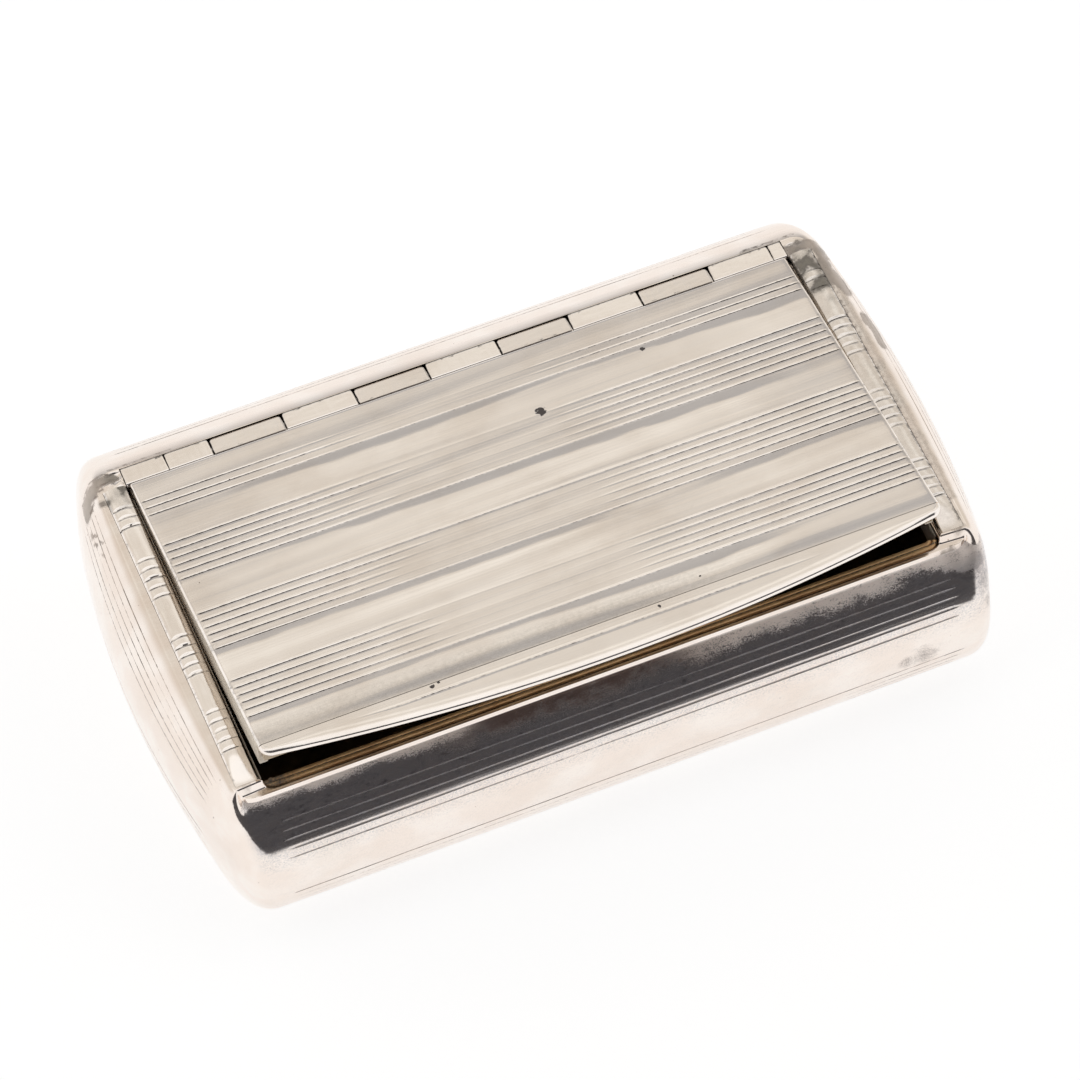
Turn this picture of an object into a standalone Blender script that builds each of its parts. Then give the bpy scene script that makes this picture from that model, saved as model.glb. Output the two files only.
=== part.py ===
"""A silver snuff box with bombé walls, a reeded lid and a flush nine-knuckle hinge.

Metres, +Z up, the long side along X, the mouth's front towards -Y, the base on z = 0 and the lid ajar.
"""

from math import asin, cos, pi, radians, sin, sqrt

import bmesh
import bpy

# Body: the outline of the top edge, and how far the walls swell out below it
TOP_LENGTH = 0.0719
TOP_DEPTH = 0.03733
TOP_CORNER = 0.0017
HEIGHT = 0.0172
SWELL_START = radians(69.4)
END_SWELL = 0.00245
END_BOW = 0.00162
WALL = 0.0007
RIM_WIDTH = 0.0005
LAND_WIDTH = 0.0013
CEILING_DROP = 0.0016
FOOT_WIDTH = 0.0010

# Base plate
BASE_THICKNESS = 0.0008
BASE_CORNER = 0.0010

# Mouth and lid
END_LAND = 0.0026
MOUTH_CORNER = 0.0013
LID_GAP = 0.00022
LID_SETBACK = 0.00135
LID_THICKNESS = 0.0007
LID_SEAM = 0.00012
AJAR = radians(8.0)

# Flush hinge
HINGE_BAND = 0.00193
HINGE_LIP = 0.00015
AXIS_DEPTH = 0.00075
RUNNING_GAP = 0.00012
PIN_RADIUS = 0.00042
PIN_GAP = 0.00008
BEARER_THICKNESS = 0.0005
BEARER_LIP = 0.0004
KNUCKLE_GAP = 0.00012
KNUCKLE_COUNT = 9

# Lengths along the hinge, as shares of its own length
KNUCKLE_PITCH_SHARE = 0.1087
KNUCKLE_SHIFT_SHARE = 0.0083
LEFT_PLUG_SHARE = 0.0604
RIGHT_PLUG_SHARE = 0.0166

# Convex reeded strips on the ends
STRIP_WIDTH = 0.00225
STRIP_SETBACK = 0.0009
STRIP_DEPTH = 0.00075
STRIP_CROWN = 0.00035
STRIP_NOSE = 0.0007
NOSE_TIP_SHARE = 0.3
SEAT_GAP = 0.00012
STRIP_CUT_DEPTH = 0.00016
STRIP_CUT_WIDTH = 0.00034

# Reeding, in groups whose middles lie at shares of the lid's depth from the hinge
GROUP_SHARES = (0.105, 0.315, 0.580, 0.832)
LID_LINES = (3, 6, 6, 6)
STRIP_LINES = (3, 5, 5, 5)
LID_PITCH = 0.00090
STRIP_PITCH = 0.00105
GROOVE_WIDTH = 0.00036
GROOVE_DEPTH = 0.00016

# Reeding round the wall: the first line of each group, and the pitch, as shares of the swell's turn
WALL_GROUP_SHARES = (0.735, -0.050)
WALL_LINES = 5
WALL_PITCH_SHARE = 0.0865

# Thumb moulding along the lid's front
THUMB_LAND = 0.0011
THUMB_BOW = 0.0027
THUMB_CORNER = 0.0012
THUMB_BEAD = 0.00085
THUMB_RISE = 0.00010

# Bezel strips inside the mouth, and the flanges under the lid that drop inside them
FRONT_BEZEL_THICKNESS = 0.0010
SIDE_BEZEL_THICKNESS = 0.00040
BEZEL_HEIGHT = 0.0026
BEZEL_DROP = 0.00015
BEZEL_STEP = 0.00015
FLANGE_THICKNESS = 0.00045
FLANGE_HEIGHT = 0.0022
FLANGE_GAP = 0.00018
FLANGE_SETBACK = 0.0012
CORNER_GAP = 0.00020

OVERRUN = 0.0010

# How finely round forms are drawn
WALL_LEVELS = 22
CAVITY_LEVELS = 12
FRONT_STEPS = 6
END_STEPS = 12
CORNER_STEPS = 6
ROUND_STEPS = 24
PIN_STEPS = 16
BOW_STEPS = 28
CROWN_STEPS = 6
NOSE_STEPS = 3
LIP_STEPS = 4

# Worked out from the sizes above
RIM_TOP = HEIGHT - LID_THICKNESS - SEAT_GAP
BACK_RADIUS = HEIGHT / 2 / sin(SWELL_START)
FRONT_RADIUS = RIM_TOP / 2 / sin(SWELL_START)
BACK_SWELL = BACK_RADIUS * (1 - cos(SWELL_START))
FRONT_SWELL = FRONT_RADIUS * (1 - cos(SWELL_START))
OVERALL_DEPTH = TOP_DEPTH + FRONT_SWELL + BACK_SWELL
FRONT_Y = FRONT_SWELL - OVERALL_DEPTH / 2
BACK_Y = OVERALL_DEPTH / 2 - BACK_SWELL
MIDDLE_Y = (FRONT_Y + BACK_Y) / 2
HALF_TOP = TOP_LENGTH / 2
HALF_MOUTH = HALF_TOP - END_LAND
MOUTH_FRONT = FRONT_Y + RIM_WIDTH
CEILING = HEIGHT - CEILING_DROP
FLOOR = BASE_THICKNESS + SEAT_GAP

AXIS_Y = BACK_Y - HINGE_LIP - HINGE_BAND / 2
AXIS_Z = HEIGHT - AXIS_DEPTH
KNUCKLE_RADIUS = sqrt((HINGE_BAND / 2 - RUNNING_GAP) ** 2 + AXIS_DEPTH**2)
CHANNEL_RADIUS = KNUCKLE_RADIUS + RUNNING_GAP
BEARER_RADIUS = CHANNEL_RADIUS + BEARER_THICKNESS
HALF_LID = HALF_MOUTH - LID_GAP
HINGE_HALF = HALF_LID

LID_BACK = -sqrt(CHANNEL_RADIUS**2 - AXIS_DEPTH**2)
LID_FRONT = FRONT_Y + LID_SETBACK - AXIS_Y
LID_DEPTH = LID_BACK - LID_FRONT
LID_TOP = AXIS_DEPTH
LID_UNDER = LID_TOP - LID_THICKNESS
FLANGE_TOP = LID_UNDER - SEAT_GAP


def clear_scene():
    for item in list(bpy.data.objects):
        bpy.data.objects.remove(item, do_unlink=True)


def metal(name, colour, roughness):
    """A Principled metal with its own colour and polish."""
    material = bpy.data.materials.new(name)
    material.use_nodes = True
    shader = material.node_tree.nodes["Principled BSDF"]
    shader.inputs["Base Color"].default_value = (*colour, 1.0)
    shader.inputs["Metallic"].default_value = 1.0
    shader.inputs["Roughness"].default_value = roughness
    material.diffuse_color = (*colour, 1.0)
    return material


def silver(name):
    return metal(name, (0.83, 0.80, 0.75), 0.22)


def gilt(name):
    return metal(name, (0.62, 0.44, 0.20), 0.35)


def add_object(name, mesh_builder, material, parent=None):
    """Turns a bmesh into a named object with outward faces and smooth round sides."""
    bmesh.ops.recalc_face_normals(mesh_builder, faces=mesh_builder.faces)
    mesh = bpy.data.meshes.new(name)
    mesh_builder.to_mesh(mesh)
    mesh_builder.free()
    mesh.shade_smooth()
    mesh.set_sharp_from_angle(angle=radians(32))
    item = bpy.data.objects.new(name, mesh)
    bpy.context.scene.collection.objects.link(item)
    item.parent = parent
    if material:
        mesh.materials.append(material)
    return item


def add_cutter(name, mesh_builder):
    cutter = add_object(name, mesh_builder, None)
    cutter.hide_render = True
    cutter.display_type = "WIRE"
    return cutter


def cut(item, cutter):
    step = item.modifiers.new(cutter.name, "BOOLEAN")
    step.operation = "DIFFERENCE"
    step.solver = "EXACT"
    step.object = cutter


def loft(rings):
    """A closed skin through rings of equally many points, with a flat cap at each end."""
    builder = bmesh.new()
    made = [[builder.verts.new(point) for point in ring] for ring in rings]
    for lower, upper in zip(made, made[1:]):
        count = len(lower)
        for k in range(count):
            n = (k + 1) % count
            builder.faces.new((lower[k], lower[n], upper[n], upper[k]))
    builder.faces.new(made[0])
    builder.faces.new(made[-1])
    return builder


def bar_along_x(section, start, end):
    """A bar whose (y, z) section runs from one x to another."""
    return loft([[(x, y, z) for y, z in section] for x in (start, end)])


def plate(outline, low, high):
    """A flat plate with an (x, y) outline between two heights."""
    return loft([[(x, y, z) for x, y in outline] for z in (low, high)])


def box(x_range, y_range, z_range):
    (left, right), (front, back) = x_range, y_range
    return plate([(left, front), (right, front), (right, back), (left, back)], *z_range)


def arc(centre, radius, start, end, steps):
    """Points on a circle's arc between two angles, both ends included."""
    turns = [start + (end - start) * k / steps for k in range(steps + 1)]
    return [(centre[0] + radius * cos(a), centre[1] + radius * sin(a)) for a in turns]


def rounded_rectangle(half_length, front, back, radius, steps=CORNER_STEPS):
    inner = half_length - radius
    corners = (
        ((inner, front + radius), -pi / 2),
        ((inner, back - radius), 0.0),
        ((-inner, back - radius), pi / 2),
        ((-inner, front + radius), pi),
    )
    points = []
    for centre, start in corners:
        points += arc(centre, radius, start, start + pi / 2, steps)
    return points


def stations():
    """Places round the top outline: (x, y, outward x, outward y), straight sides split in steps."""
    inner = HALF_TOP - TOP_CORNER
    near, far = FRONT_Y + TOP_CORNER, BACK_Y - TOP_CORNER
    sides = (
        ((-inner, FRONT_Y), (inner, FRONT_Y), (0, -1), FRONT_STEPS, (inner, near), -pi / 2),
        ((HALF_TOP, near), (HALF_TOP, far), (1, 0), END_STEPS, (inner, far), 0.0),
        ((inner, BACK_Y), (-inner, BACK_Y), (0, 1), FRONT_STEPS, (-inner, far), pi / 2),
        ((-HALF_TOP, far), (-HALF_TOP, near), (-1, 0), END_STEPS, (-inner, near), pi),
    )
    places = []
    for start, end, normal, steps, centre, angle in sides:
        for k in range(steps):
            share = k / steps
            x = start[0] + (end[0] - start[0]) * share
            y = start[1] + (end[1] - start[1]) * share
            places.append((x, y, *normal))
        for k in range(CORNER_STEPS):
            turn = angle + pi / 2 * k / CORNER_STEPS
            x = centre[0] + TOP_CORNER * cos(turn)
            y = centre[1] + TOP_CORNER * sin(turn)
            places.append((x, y, cos(turn), sin(turn)))
    return places


def end_swell(place, side_out):
    """How far an end wall swells here: most in the middle, and tucked in smoothly round a corner."""
    _, y, out_x, out_y = place
    reach = TOP_DEPTH / 2 - TOP_CORNER
    share = min(abs(y - MIDDLE_Y) / reach, 1.0)
    tuck = 2 * END_BOW / reach * (TOP_CORNER + side_out) * abs(out_y) * out_x**2
    return END_SWELL + END_BOW * (1 - share**2) - tuck


def outer_point(place, turn):
    """A point on the outside of the wall. The turn runs from 1 at the top edge to -1 at the foot."""
    x, y, out_x, out_y = place
    side = out_y**2
    top = RIM_TOP if out_y < 0 else HEIGHT
    radius = top / 2 / sin(SWELL_START)
    side_out = radius * (cos(SWELL_START * turn) - cos(SWELL_START))
    side_up = top / 2 + radius * sin(SWELL_START * turn)
    end_out = end_swell(place, side_out) * cos(turn * pi / 2)
    end_up = HEIGHT / 2 * (1 + sin(turn * pi / 2))
    return (x + out_x * end_out, y + out_y * side_out, side * side_up + (1 - side) * end_up)


def wall_turns():
    """The turn and groove depth of each ring round the wall, with three rings to a reeded line."""
    half = GROOVE_WIDTH / 2 / (BACK_RADIUS * SWELL_START)
    lines = [first - k * WALL_PITCH_SHARE for first in WALL_GROUP_SHARES for k in range(WALL_LINES)]
    even = [1 - 2 * k / WALL_LEVELS for k in range(WALL_LEVELS + 1)]
    turns = [(turn, 0.0) for turn in even if all(abs(turn - line) > 2 * half for line in lines)]
    for line in lines:
        turns += [(line + half, 0.0), (line, GROOVE_DEPTH), (line - half, 0.0)]
    return sorted(turns, reverse=True)


def reeded_point(place, turn, depth):
    """A point on the wall, sunk into a reeded line that runs out before it reaches a corner."""
    x, y, z = outer_point(place, turn)
    _, _, out_x, out_y = place
    sunk = depth * max(0.0, 1 - 4 * abs(out_x * out_y))
    level = sunk * cos(SWELL_START * turn)
    return (x - out_x * level, y - out_y * level, z - sunk * sin(SWELL_START * turn))


def inner_point(place, z):
    """A point on the inside of the wall at this height."""
    x, y, out_x, out_y = place
    top = RIM_TOP if out_y < 0 else HEIGHT
    radius = top / 2 / sin(SWELL_START)
    side_out = sqrt((radius - WALL) ** 2 - (z - top / 2) ** 2) - radius * cos(SWELL_START)
    rise = (z - HEIGHT / 2) / (HEIGHT / 2 - WALL)
    end_out = (end_swell(place, side_out) - WALL) * sqrt(1 - rise**2)
    return (x + out_x * end_out, y + out_y * side_out, z)


def shell_block():
    """The bombé body as a solid block, which the cutters then hollow."""
    places = stations()
    rings = [[reeded_point(place, turn, depth) for place in places] for turn, depth in wall_turns()]
    land = []
    for (x, y, out_x, out_y), (_, _, z) in zip(places, rings[0]):
        land.append((x - out_x * LAND_WIDTH, y - out_y * LAND_WIDTH, z))
    builder = bmesh.new()
    made = [[builder.verts.new(point) for point in ring] for ring in [land] + rings]
    count = len(places)
    for upper, lower in zip(made, made[1:]):
        for k in range(count):
            n = (k + 1) % count
            builder.faces.new((upper[k], upper[n], lower[n], lower[k]))
    builder.faces.new(made[-1])
    crown = builder.verts.new((0, MIDDLE_Y, (RIM_TOP + HEIGHT) / 2))
    for k in range(count):
        builder.faces.new((made[0][k], made[0][(k + 1) % count], crown))
    bmesh.ops.triangulate(builder, faces=builder.faces)
    return builder


def cavity_block():
    places = stations()
    levels = []
    for k in range(CAVITY_LEVELS + 1):
        share = (1 - cos(pi * k / CAVITY_LEVELS)) / 2
        levels.append(FLOOR + (CEILING - FLOOR) * share)
    builder = loft([[inner_point(place, z) for place in places] for z in levels])
    bmesh.ops.triangulate(builder, faces=builder.faces)
    return builder


def hinge_recess():
    """What the hinge takes out of the back wall: the channel above, the fixed bearer's room below it."""
    axis = (AXIS_Y, AXIS_Z)
    lip = AXIS_DEPTH - BEARER_LIP
    radius = BEARER_RADIUS + SEAT_GAP
    high, low = (asin(level / CHANNEL_RADIUS) for level in (AXIS_DEPTH, lip))
    channel = arc(axis, CHANNEL_RADIUS, high, low, LIP_STEPS)
    room = arc(axis, radius, asin(lip / radius), -pi / 2, ROUND_STEPS // 2)
    front = AXIS_Y - KNUCKLE_RADIUS
    above = HEIGHT + OVERRUN
    return [(front, above), (channel[0][0], above)] + channel + room + [(front, AXIS_Z - radius)]


def mouth_outline():
    """The mouth: rounded corners at the front, square ones where the hinge crosses it."""
    inner = HALF_MOUTH - MOUTH_CORNER
    front = MOUTH_FRONT + MOUTH_CORNER
    left = arc((-inner, front), MOUTH_CORNER, pi, 3 * pi / 2, CORNER_STEPS)
    right = arc((inner, front), MOUTH_CORNER, -pi / 2, 0.0, CORNER_STEPS)
    return left + right + [(HALF_MOUTH, AXIS_Y), (-HALF_MOUTH, AXIS_Y)]


def strip_inner_x():
    return HALF_MOUTH + SEAT_GAP


def strip_front_y():
    return FRONT_Y + STRIP_SETBACK


def strip_back_y():
    return AXIS_Y + LID_BACK


def make_wall():
    wall = add_object("body_wall", shell_block(), silver("wall_silver"))
    cut(wall, add_cutter("cavity_cutter", cavity_block()))
    mouth = plate(mouth_outline(), CEILING - OVERRUN, HEIGHT + OVERRUN)
    cut(wall, add_cutter("mouth_cutter", mouth))
    hinge_half = HALF_MOUTH + SEAT_GAP / 2
    cut(wall, add_cutter("hinge_cutter", bar_along_x(hinge_recess(), -hinge_half, hinge_half)))
    seat = HEIGHT - STRIP_DEPTH - SEAT_GAP
    outer = strip_inner_x() + STRIP_WIDTH + SEAT_GAP
    y_range = (strip_front_y() - SEAT_GAP, strip_back_y() + SEAT_GAP)
    for side, name in ((-1, "left_recess_cutter"), (1, "right_recess_cutter")):
        x_range = sorted((side * (HALF_MOUTH - SEAT_GAP), side * outer))
        cut(wall, add_cutter(name, box(x_range, y_range, (seat, HEIGHT + OVERRUN))))
    foot = rounded_rectangle(HALF_TOP - FOOT_WIDTH, FRONT_Y + FOOT_WIDTH, BACK_Y - FOOT_WIDTH, BASE_CORNER)
    cut(wall, add_cutter("foot_cutter", plate(foot, -OVERRUN, FLOOR + OVERRUN)))


def make_base():
    gap = FOOT_WIDTH + SEAT_GAP
    outline = rounded_rectangle(HALF_TOP - gap, FRONT_Y + gap, BACK_Y - gap, BASE_CORNER - SEAT_GAP)
    add_object("base_plate", plate(outline, 0, BASE_THICKNESS), silver("base_silver"))


def group_lines(counts, pitch):
    """Distances of the reeded lines from the lid's back edge, group by group."""
    lines = []
    for share, count in zip(GROUP_SHARES, counts):
        middle = share * LID_DEPTH
        lines += [middle + (k - (count - 1) / 2) * pitch for k in range(count)]
    return lines


def strip_section(y, drop, height_share):
    """An arched section across a strip: flat underneath, low at its edges, crowned in the middle."""
    low = HEIGHT - STRIP_DEPTH
    edge = low + (STRIP_DEPTH - STRIP_CROWN) * height_share
    points = [(0.0, y, low), (STRIP_WIDTH, y, low)]
    for k in range(CROWN_STEPS + 1):
        angle = pi * k / CROWN_STEPS
        across = STRIP_WIDTH / 2 * (1 + cos(angle))
        up = edge + (2 * STRIP_CROWN * sin(angle) - drop) * height_share
        points.append((across, y, max(up, low + SEAT_GAP)))
    return points


def make_strips():
    front, back = strip_front_y(), strip_back_y()
    half = STRIP_CUT_WIDTH / 2
    places = [(back, 0.0, 1.0)]
    for distance in group_lines(STRIP_LINES, STRIP_PITCH):
        line = back - distance
        places += [(line + half, 0.0, 1.0), (line, STRIP_CUT_DEPTH, 1.0), (line - half, 0.0, 1.0)]
    for k in range(NOSE_STEPS + 1):
        angle = pi / 2 * k / NOSE_STEPS
        height_share = NOSE_TIP_SHARE + (1 - NOSE_TIP_SHARE) * cos(angle)
        places.append((front + STRIP_NOSE * (1 - sin(angle)), 0.0, height_share))
    rings = [strip_section(*place) for place in places]
    for side, name in ((-1, "left_top_strip"), (1, "right_top_strip")):
        moved = [[(side * (strip_inner_x() + x), y, z) for x, y, z in ring] for ring in rings]
        add_object(name, loft(moved), silver(name + "_silver"))


def make_bezels():
    """Gilt strips round the inside of the mouth that the lid's flanges drop behind."""
    top = RIM_TOP - BEZEL_DROP
    low = top - BEZEL_HEIGHT
    face = MOUTH_FRONT + SEAT_GAP
    inside = face + FRONT_BEZEL_THICKNESS
    seam = (face + inside) / 2
    half = HALF_MOUTH - SEAT_GAP
    reach = HALF_MOUTH - MOUTH_CORNER
    step = top - BEZEL_STEP
    section = [(face, low), (inside, low), (inside, step), (seam + GROOVE_WIDTH / 2, step)]
    section += [(seam, step - GROOVE_DEPTH), (seam - GROOVE_WIDTH / 2, top), (face, top)]
    add_object("front_bezel", bar_along_x(section, -reach, reach), gilt("front_bezel_gilt"))
    start = inside + CORNER_GAP
    end = AXIS_Y - BEARER_RADIUS - CORNER_GAP
    for side, name in ((-1, "left_bezel"), (1, "right_bezel")):
        x_range = sorted((side * half, side * (half - SIDE_BEZEL_THICKNESS)))
        add_object(name, box(x_range, (start, end), (low, top)), gilt(name + "_gilt"))


def bearer_section(level):
    """A quarter of a channel behind the hinge's axis, squared off at a level (y, z from the axis)."""
    bottom = RUNNING_GAP / CHANNEL_RADIUS - pi / 2
    outer = arc((0.0, 0.0), BEARER_RADIUS, asin(level / BEARER_RADIUS), bottom, ROUND_STEPS // 3)
    inner = arc((0.0, 0.0), CHANNEL_RADIUS, bottom, asin(level / CHANNEL_RADIUS), ROUND_STEPS // 3)
    return outer + inner


def make_body_hinge():
    """The bearer and the pin, which stay with the body."""
    section = bearer_section(AXIS_DEPTH - BEARER_LIP - SEAT_GAP)
    section = [(AXIS_Y + y, AXIS_Z + z) for y, z in section]
    bearer = bar_along_x(section, -HINGE_HALF, HINGE_HALF)
    add_object("body_hinge_bearer", bearer, gilt("body_bearer_gilt"))

    pin_half = HINGE_HALF - SEAT_GAP
    pin = arc((AXIS_Y, AXIS_Z), PIN_RADIUS, 0.0, 2 * pi - 2 * pi / PIN_STEPS, PIN_STEPS - 1)
    add_object("hinge_pin", bar_along_x(pin, -pin_half, pin_half), silver("pin_silver"))


def knuckle_flat():
    """The outline of a knuckle about its axis: round, and filed flat where it shows."""
    flat = asin(AXIS_DEPTH / KNUCKLE_RADIUS)
    return arc((0.0, 0.0), KNUCKLE_RADIUS, pi - flat, 2 * pi + flat, ROUND_STEPS)


def knuckle_builder(start, end):
    """A tube between two x places, bored for the pin, its axis on the origin."""
    outline = knuckle_flat()
    bore = arc((0.0, 0.0), PIN_RADIUS + PIN_GAP, 0.0, 2 * pi - 2 * pi / PIN_STEPS, PIN_STEPS - 1)
    builder = bmesh.new()
    ends = []
    for x in (start, end):
        loops = []
        for points in (outline, bore):
            verts = [builder.verts.new((x, y, z)) for y, z in points]
            edges = [builder.edges.new((verts[k - 1], verts[k])) for k in range(len(verts))]
            loops.append((verts, edges))
        bmesh.ops.triangle_fill(builder, edges=loops[0][1] + loops[1][1], use_beauty=True)
        ends.append(loops)
    for (first, _), (second, _) in zip(*ends):
        for k in range(len(first)):
            builder.faces.new((first[k - 1], first[k], second[k], second[k - 1]))
    return builder


def knuckle_limits():
    """Where each knuckle starts and ends along the hinge, from left to right."""
    inner = KNUCKLE_COUNT - 1
    length = 2 * HINGE_HALF
    shares = [KNUCKLE_SHIFT_SHARE + KNUCKLE_PITCH_SHARE * (k - (inner - 1) / 2) for k in range(inner)]
    splits = [length * share for share in shares]
    limits = [length * (LEFT_PLUG_SHARE - 1 / 2)] + splits + [length * (1 / 2 - RIGHT_PLUG_SHARE)]
    gap = KNUCKLE_GAP / 2
    return [(a + gap, b - gap) for a, b in zip(limits, limits[1:])]


def make_knuckles(lid_axis, body_axis):
    for number, (start, end) in enumerate(knuckle_limits(), 1):
        body = number % 2 == 1
        name = f"body_knuckle_{number // 2 + 1}" if body else f"lid_knuckle_{number // 2}"
        parent = body_axis if body else lid_axis
        add_object(name, knuckle_builder(start, end), silver(name + "_silver"), parent)


def make_plugs(body_axis):
    """Plugs that close the hinge's tunnel at each end and cap the pin."""
    limits = knuckle_limits()
    spans = (
        ("left_pin_plug", -HINGE_HALF, limits[0][0] - KNUCKLE_GAP),
        ("right_pin_plug", limits[-1][1] + KNUCKLE_GAP, HINGE_HALF),
    )
    for name, start, end in spans:
        add_object(name, knuckle_builder(start, end), silver(name + "_silver"), body_axis)


def grooved_top():
    """The top line of the lid from its back edge forward, with a V for each reeded line."""
    half = GROOVE_WIDTH / 2
    points = []
    for distance in group_lines(LID_LINES, LID_PITCH):
        line = LID_BACK - distance
        points += [(line + half, LID_TOP), (line, LID_TOP - GROOVE_DEPTH), (line - half, LID_TOP)]
    return points


def make_lid(lid_axis):
    """The lid's reeded plate, its back edge hollowed for the hinge."""
    high = pi - asin(LID_TOP / CHANNEL_RADIUS)
    low = pi - asin(LID_UNDER / CHANNEL_RADIUS)
    back = arc((0.0, 0.0), CHANNEL_RADIUS, low, high, LIP_STEPS)
    section = back + grooved_top() + [(LID_FRONT, LID_TOP), (LID_FRONT, LID_UNDER)]
    add_object("lid_plate", bar_along_x(section, -HALF_LID, HALF_LID), silver("lid_silver"), lid_axis)


def thumb_outline(inset):
    """The thumb moulding's outline: a straight seam behind, a bowed front and rounded corners."""
    half = HALF_LID - inset
    seam = LID_FRONT - LID_SEAM
    side_end = seam - THUMB_LAND + THUMB_CORNER
    chord = HALF_LID - THUMB_CORNER
    points = [(half, seam), (-half, seam)]
    left = (-HALF_LID + THUMB_CORNER, side_end)
    points += arc(left, THUMB_CORNER - inset, pi, 3 * pi / 2, CORNER_STEPS)
    for k in range(1, BOW_STEPS):
        share = 2 * k / BOW_STEPS - 1
        points.append((chord * share, side_end - THUMB_CORNER + inset - THUMB_BOW * (1 - share**2)))
    right = (HALF_LID - THUMB_CORNER, side_end)
    points += arc(right, THUMB_CORNER - inset, -pi / 2, 0.0, CORNER_STEPS)
    return points


def make_thumb(lid_axis):
    """The moulding soldered along the lid's front, its edge rolled to a bead for the thumb."""
    radius = (LID_THICKNESS + THUMB_RISE) / 2
    middle = LID_TOP + THUMB_RISE - radius
    rings = []
    for k in range(CROWN_STEPS + 1):
        angle = -pi / 2 + pi * k / CROWN_STEPS
        rings.append((radius * (1 - cos(angle)), middle + radius * sin(angle)))
    rings.append((THUMB_BEAD, LID_TOP))
    lofted = [[(x, y, z) for x, y in thumb_outline(inset)] for inset, z in rings]
    add_object("lid_front_moulding", loft(lofted), silver("moulding_silver"), lid_axis)


def make_flanges(lid_axis):
    """Gilt flanges under the lid that drop inside the bezels, and the lid's half of the channel."""
    low = FLANGE_TOP - FLANGE_HEIGHT
    outer = HALF_MOUTH - SEAT_GAP - SIDE_BEZEL_THICKNESS - FLANGE_GAP
    face = MOUTH_FRONT + SEAT_GAP + FRONT_BEZEL_THICKNESS + FLANGE_GAP - AXIS_Y
    front = box((-outer, outer), (face, face + FLANGE_THICKNESS), (low, FLANGE_TOP))
    add_object("lid_front_flange", front, gilt("front_flange_gilt"), lid_axis)
    start = face + FLANGE_THICKNESS + SEAT_GAP
    end = -BEARER_RADIUS - FLANGE_SETBACK
    for side, name in ((-1, "lid_left_flange"), (1, "lid_right_flange")):
        x_range = sorted((side * outer, side * (outer - FLANGE_THICKNESS)))
        builder = box(x_range, (start, end), (low, FLANGE_TOP))
        add_object(name, builder, gilt(name + "_gilt"), lid_axis)
    mirrored = [(-y, z) for y, z in bearer_section(FLANGE_TOP)]
    bearer = bar_along_x(mirrored, -HINGE_HALF, HINGE_HALF)
    add_object("lid_hinge_bearer", bearer, gilt("lid_bearer_gilt"), lid_axis)


def add_axis(name, turn):
    """An empty on the hinge's axis that carries the pieces of one half."""
    axis = bpy.data.objects.new(name, None)
    bpy.context.scene.collection.objects.link(axis)
    axis.location = (0, AXIS_Y, AXIS_Z)
    axis.rotation_euler.x = turn
    return axis


def main():
    clear_scene()
    body_axis = add_axis("body_hinge_axis", 0.0)
    lid_axis = add_axis("lid_hinge_axis", -AJAR)
    make_wall()
    make_base()
    make_strips()
    make_bezels()
    make_body_hinge()
    make_knuckles(lid_axis, body_axis)
    make_plugs(body_axis)
    make_lid(lid_axis)
    make_thumb(lid_axis)
    make_flanges(lid_axis)


main()
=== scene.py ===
"""Dresses the snuff box: worn silver with reeding, gilt inside the mouth, a white table and soft light."""

from math import asin, cos, hypot, pi, radians, sin, sqrt

import bmesh
import bpy
from mathutils import Matrix, Vector, noise
from mathutils.kdtree import KDTree


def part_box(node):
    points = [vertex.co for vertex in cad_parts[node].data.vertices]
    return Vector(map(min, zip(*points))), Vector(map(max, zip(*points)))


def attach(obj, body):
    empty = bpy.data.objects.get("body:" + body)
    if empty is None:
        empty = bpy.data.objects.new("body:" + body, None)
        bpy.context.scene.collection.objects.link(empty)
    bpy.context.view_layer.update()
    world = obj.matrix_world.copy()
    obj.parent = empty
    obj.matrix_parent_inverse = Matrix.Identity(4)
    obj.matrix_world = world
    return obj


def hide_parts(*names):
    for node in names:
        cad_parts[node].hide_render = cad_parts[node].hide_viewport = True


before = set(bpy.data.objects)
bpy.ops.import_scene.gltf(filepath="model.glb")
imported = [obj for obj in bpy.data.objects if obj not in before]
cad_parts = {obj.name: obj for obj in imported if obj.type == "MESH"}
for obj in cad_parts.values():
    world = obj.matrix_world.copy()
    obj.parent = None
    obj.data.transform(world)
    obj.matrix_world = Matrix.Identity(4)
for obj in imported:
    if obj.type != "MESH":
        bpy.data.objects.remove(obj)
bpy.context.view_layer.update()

MM = 0.001

# Body, the same sizes as the frame's
TOP_LENGTH = 71.9 * MM
TOP_DEPTH = 37.33 * MM
TOP_CORNER = 1.7 * MM
HEIGHT = 17.2 * MM
SWELL_START = radians(69.4)
END_SWELL = 2.45 * MM
END_BOW = 1.62 * MM
WALL = 0.7 * MM
LID_THICKNESS = 0.7 * MM
SEAT_GAP = 0.12 * MM
RIM_WIDTH = 0.5 * MM
BACK_LAND = 0.15 * MM
END_LAND = 2.6 * MM
MOUTH_CORNER = 1.3 * MM
BACK_CORNER = MOUTH_CORNER / 4
MOUTH_LIP = 0.20 * MM
EDGE_WIDTH = 0.12 * MM
TOP_SINK = 0.02 * MM
WALL_INSET = 0.018 * MM
FOOT_WIDTH = 1.11 * MM
FLOOR = 0.92 * MM
CEILING = 15.6 * MM
RIM_STEP = 0.36 * MM
STRIP_WIDTH = 2.25 * MM
STRIP_SETBACK = 1.3 * MM
STRIP_DEPTH = 0.75 * MM
STRIP_CROWN = 1.03 * 0.35 * MM
STRIP_NOSE = 3.2 * MM
FINE_GAP = 0.02 * MM

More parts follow.
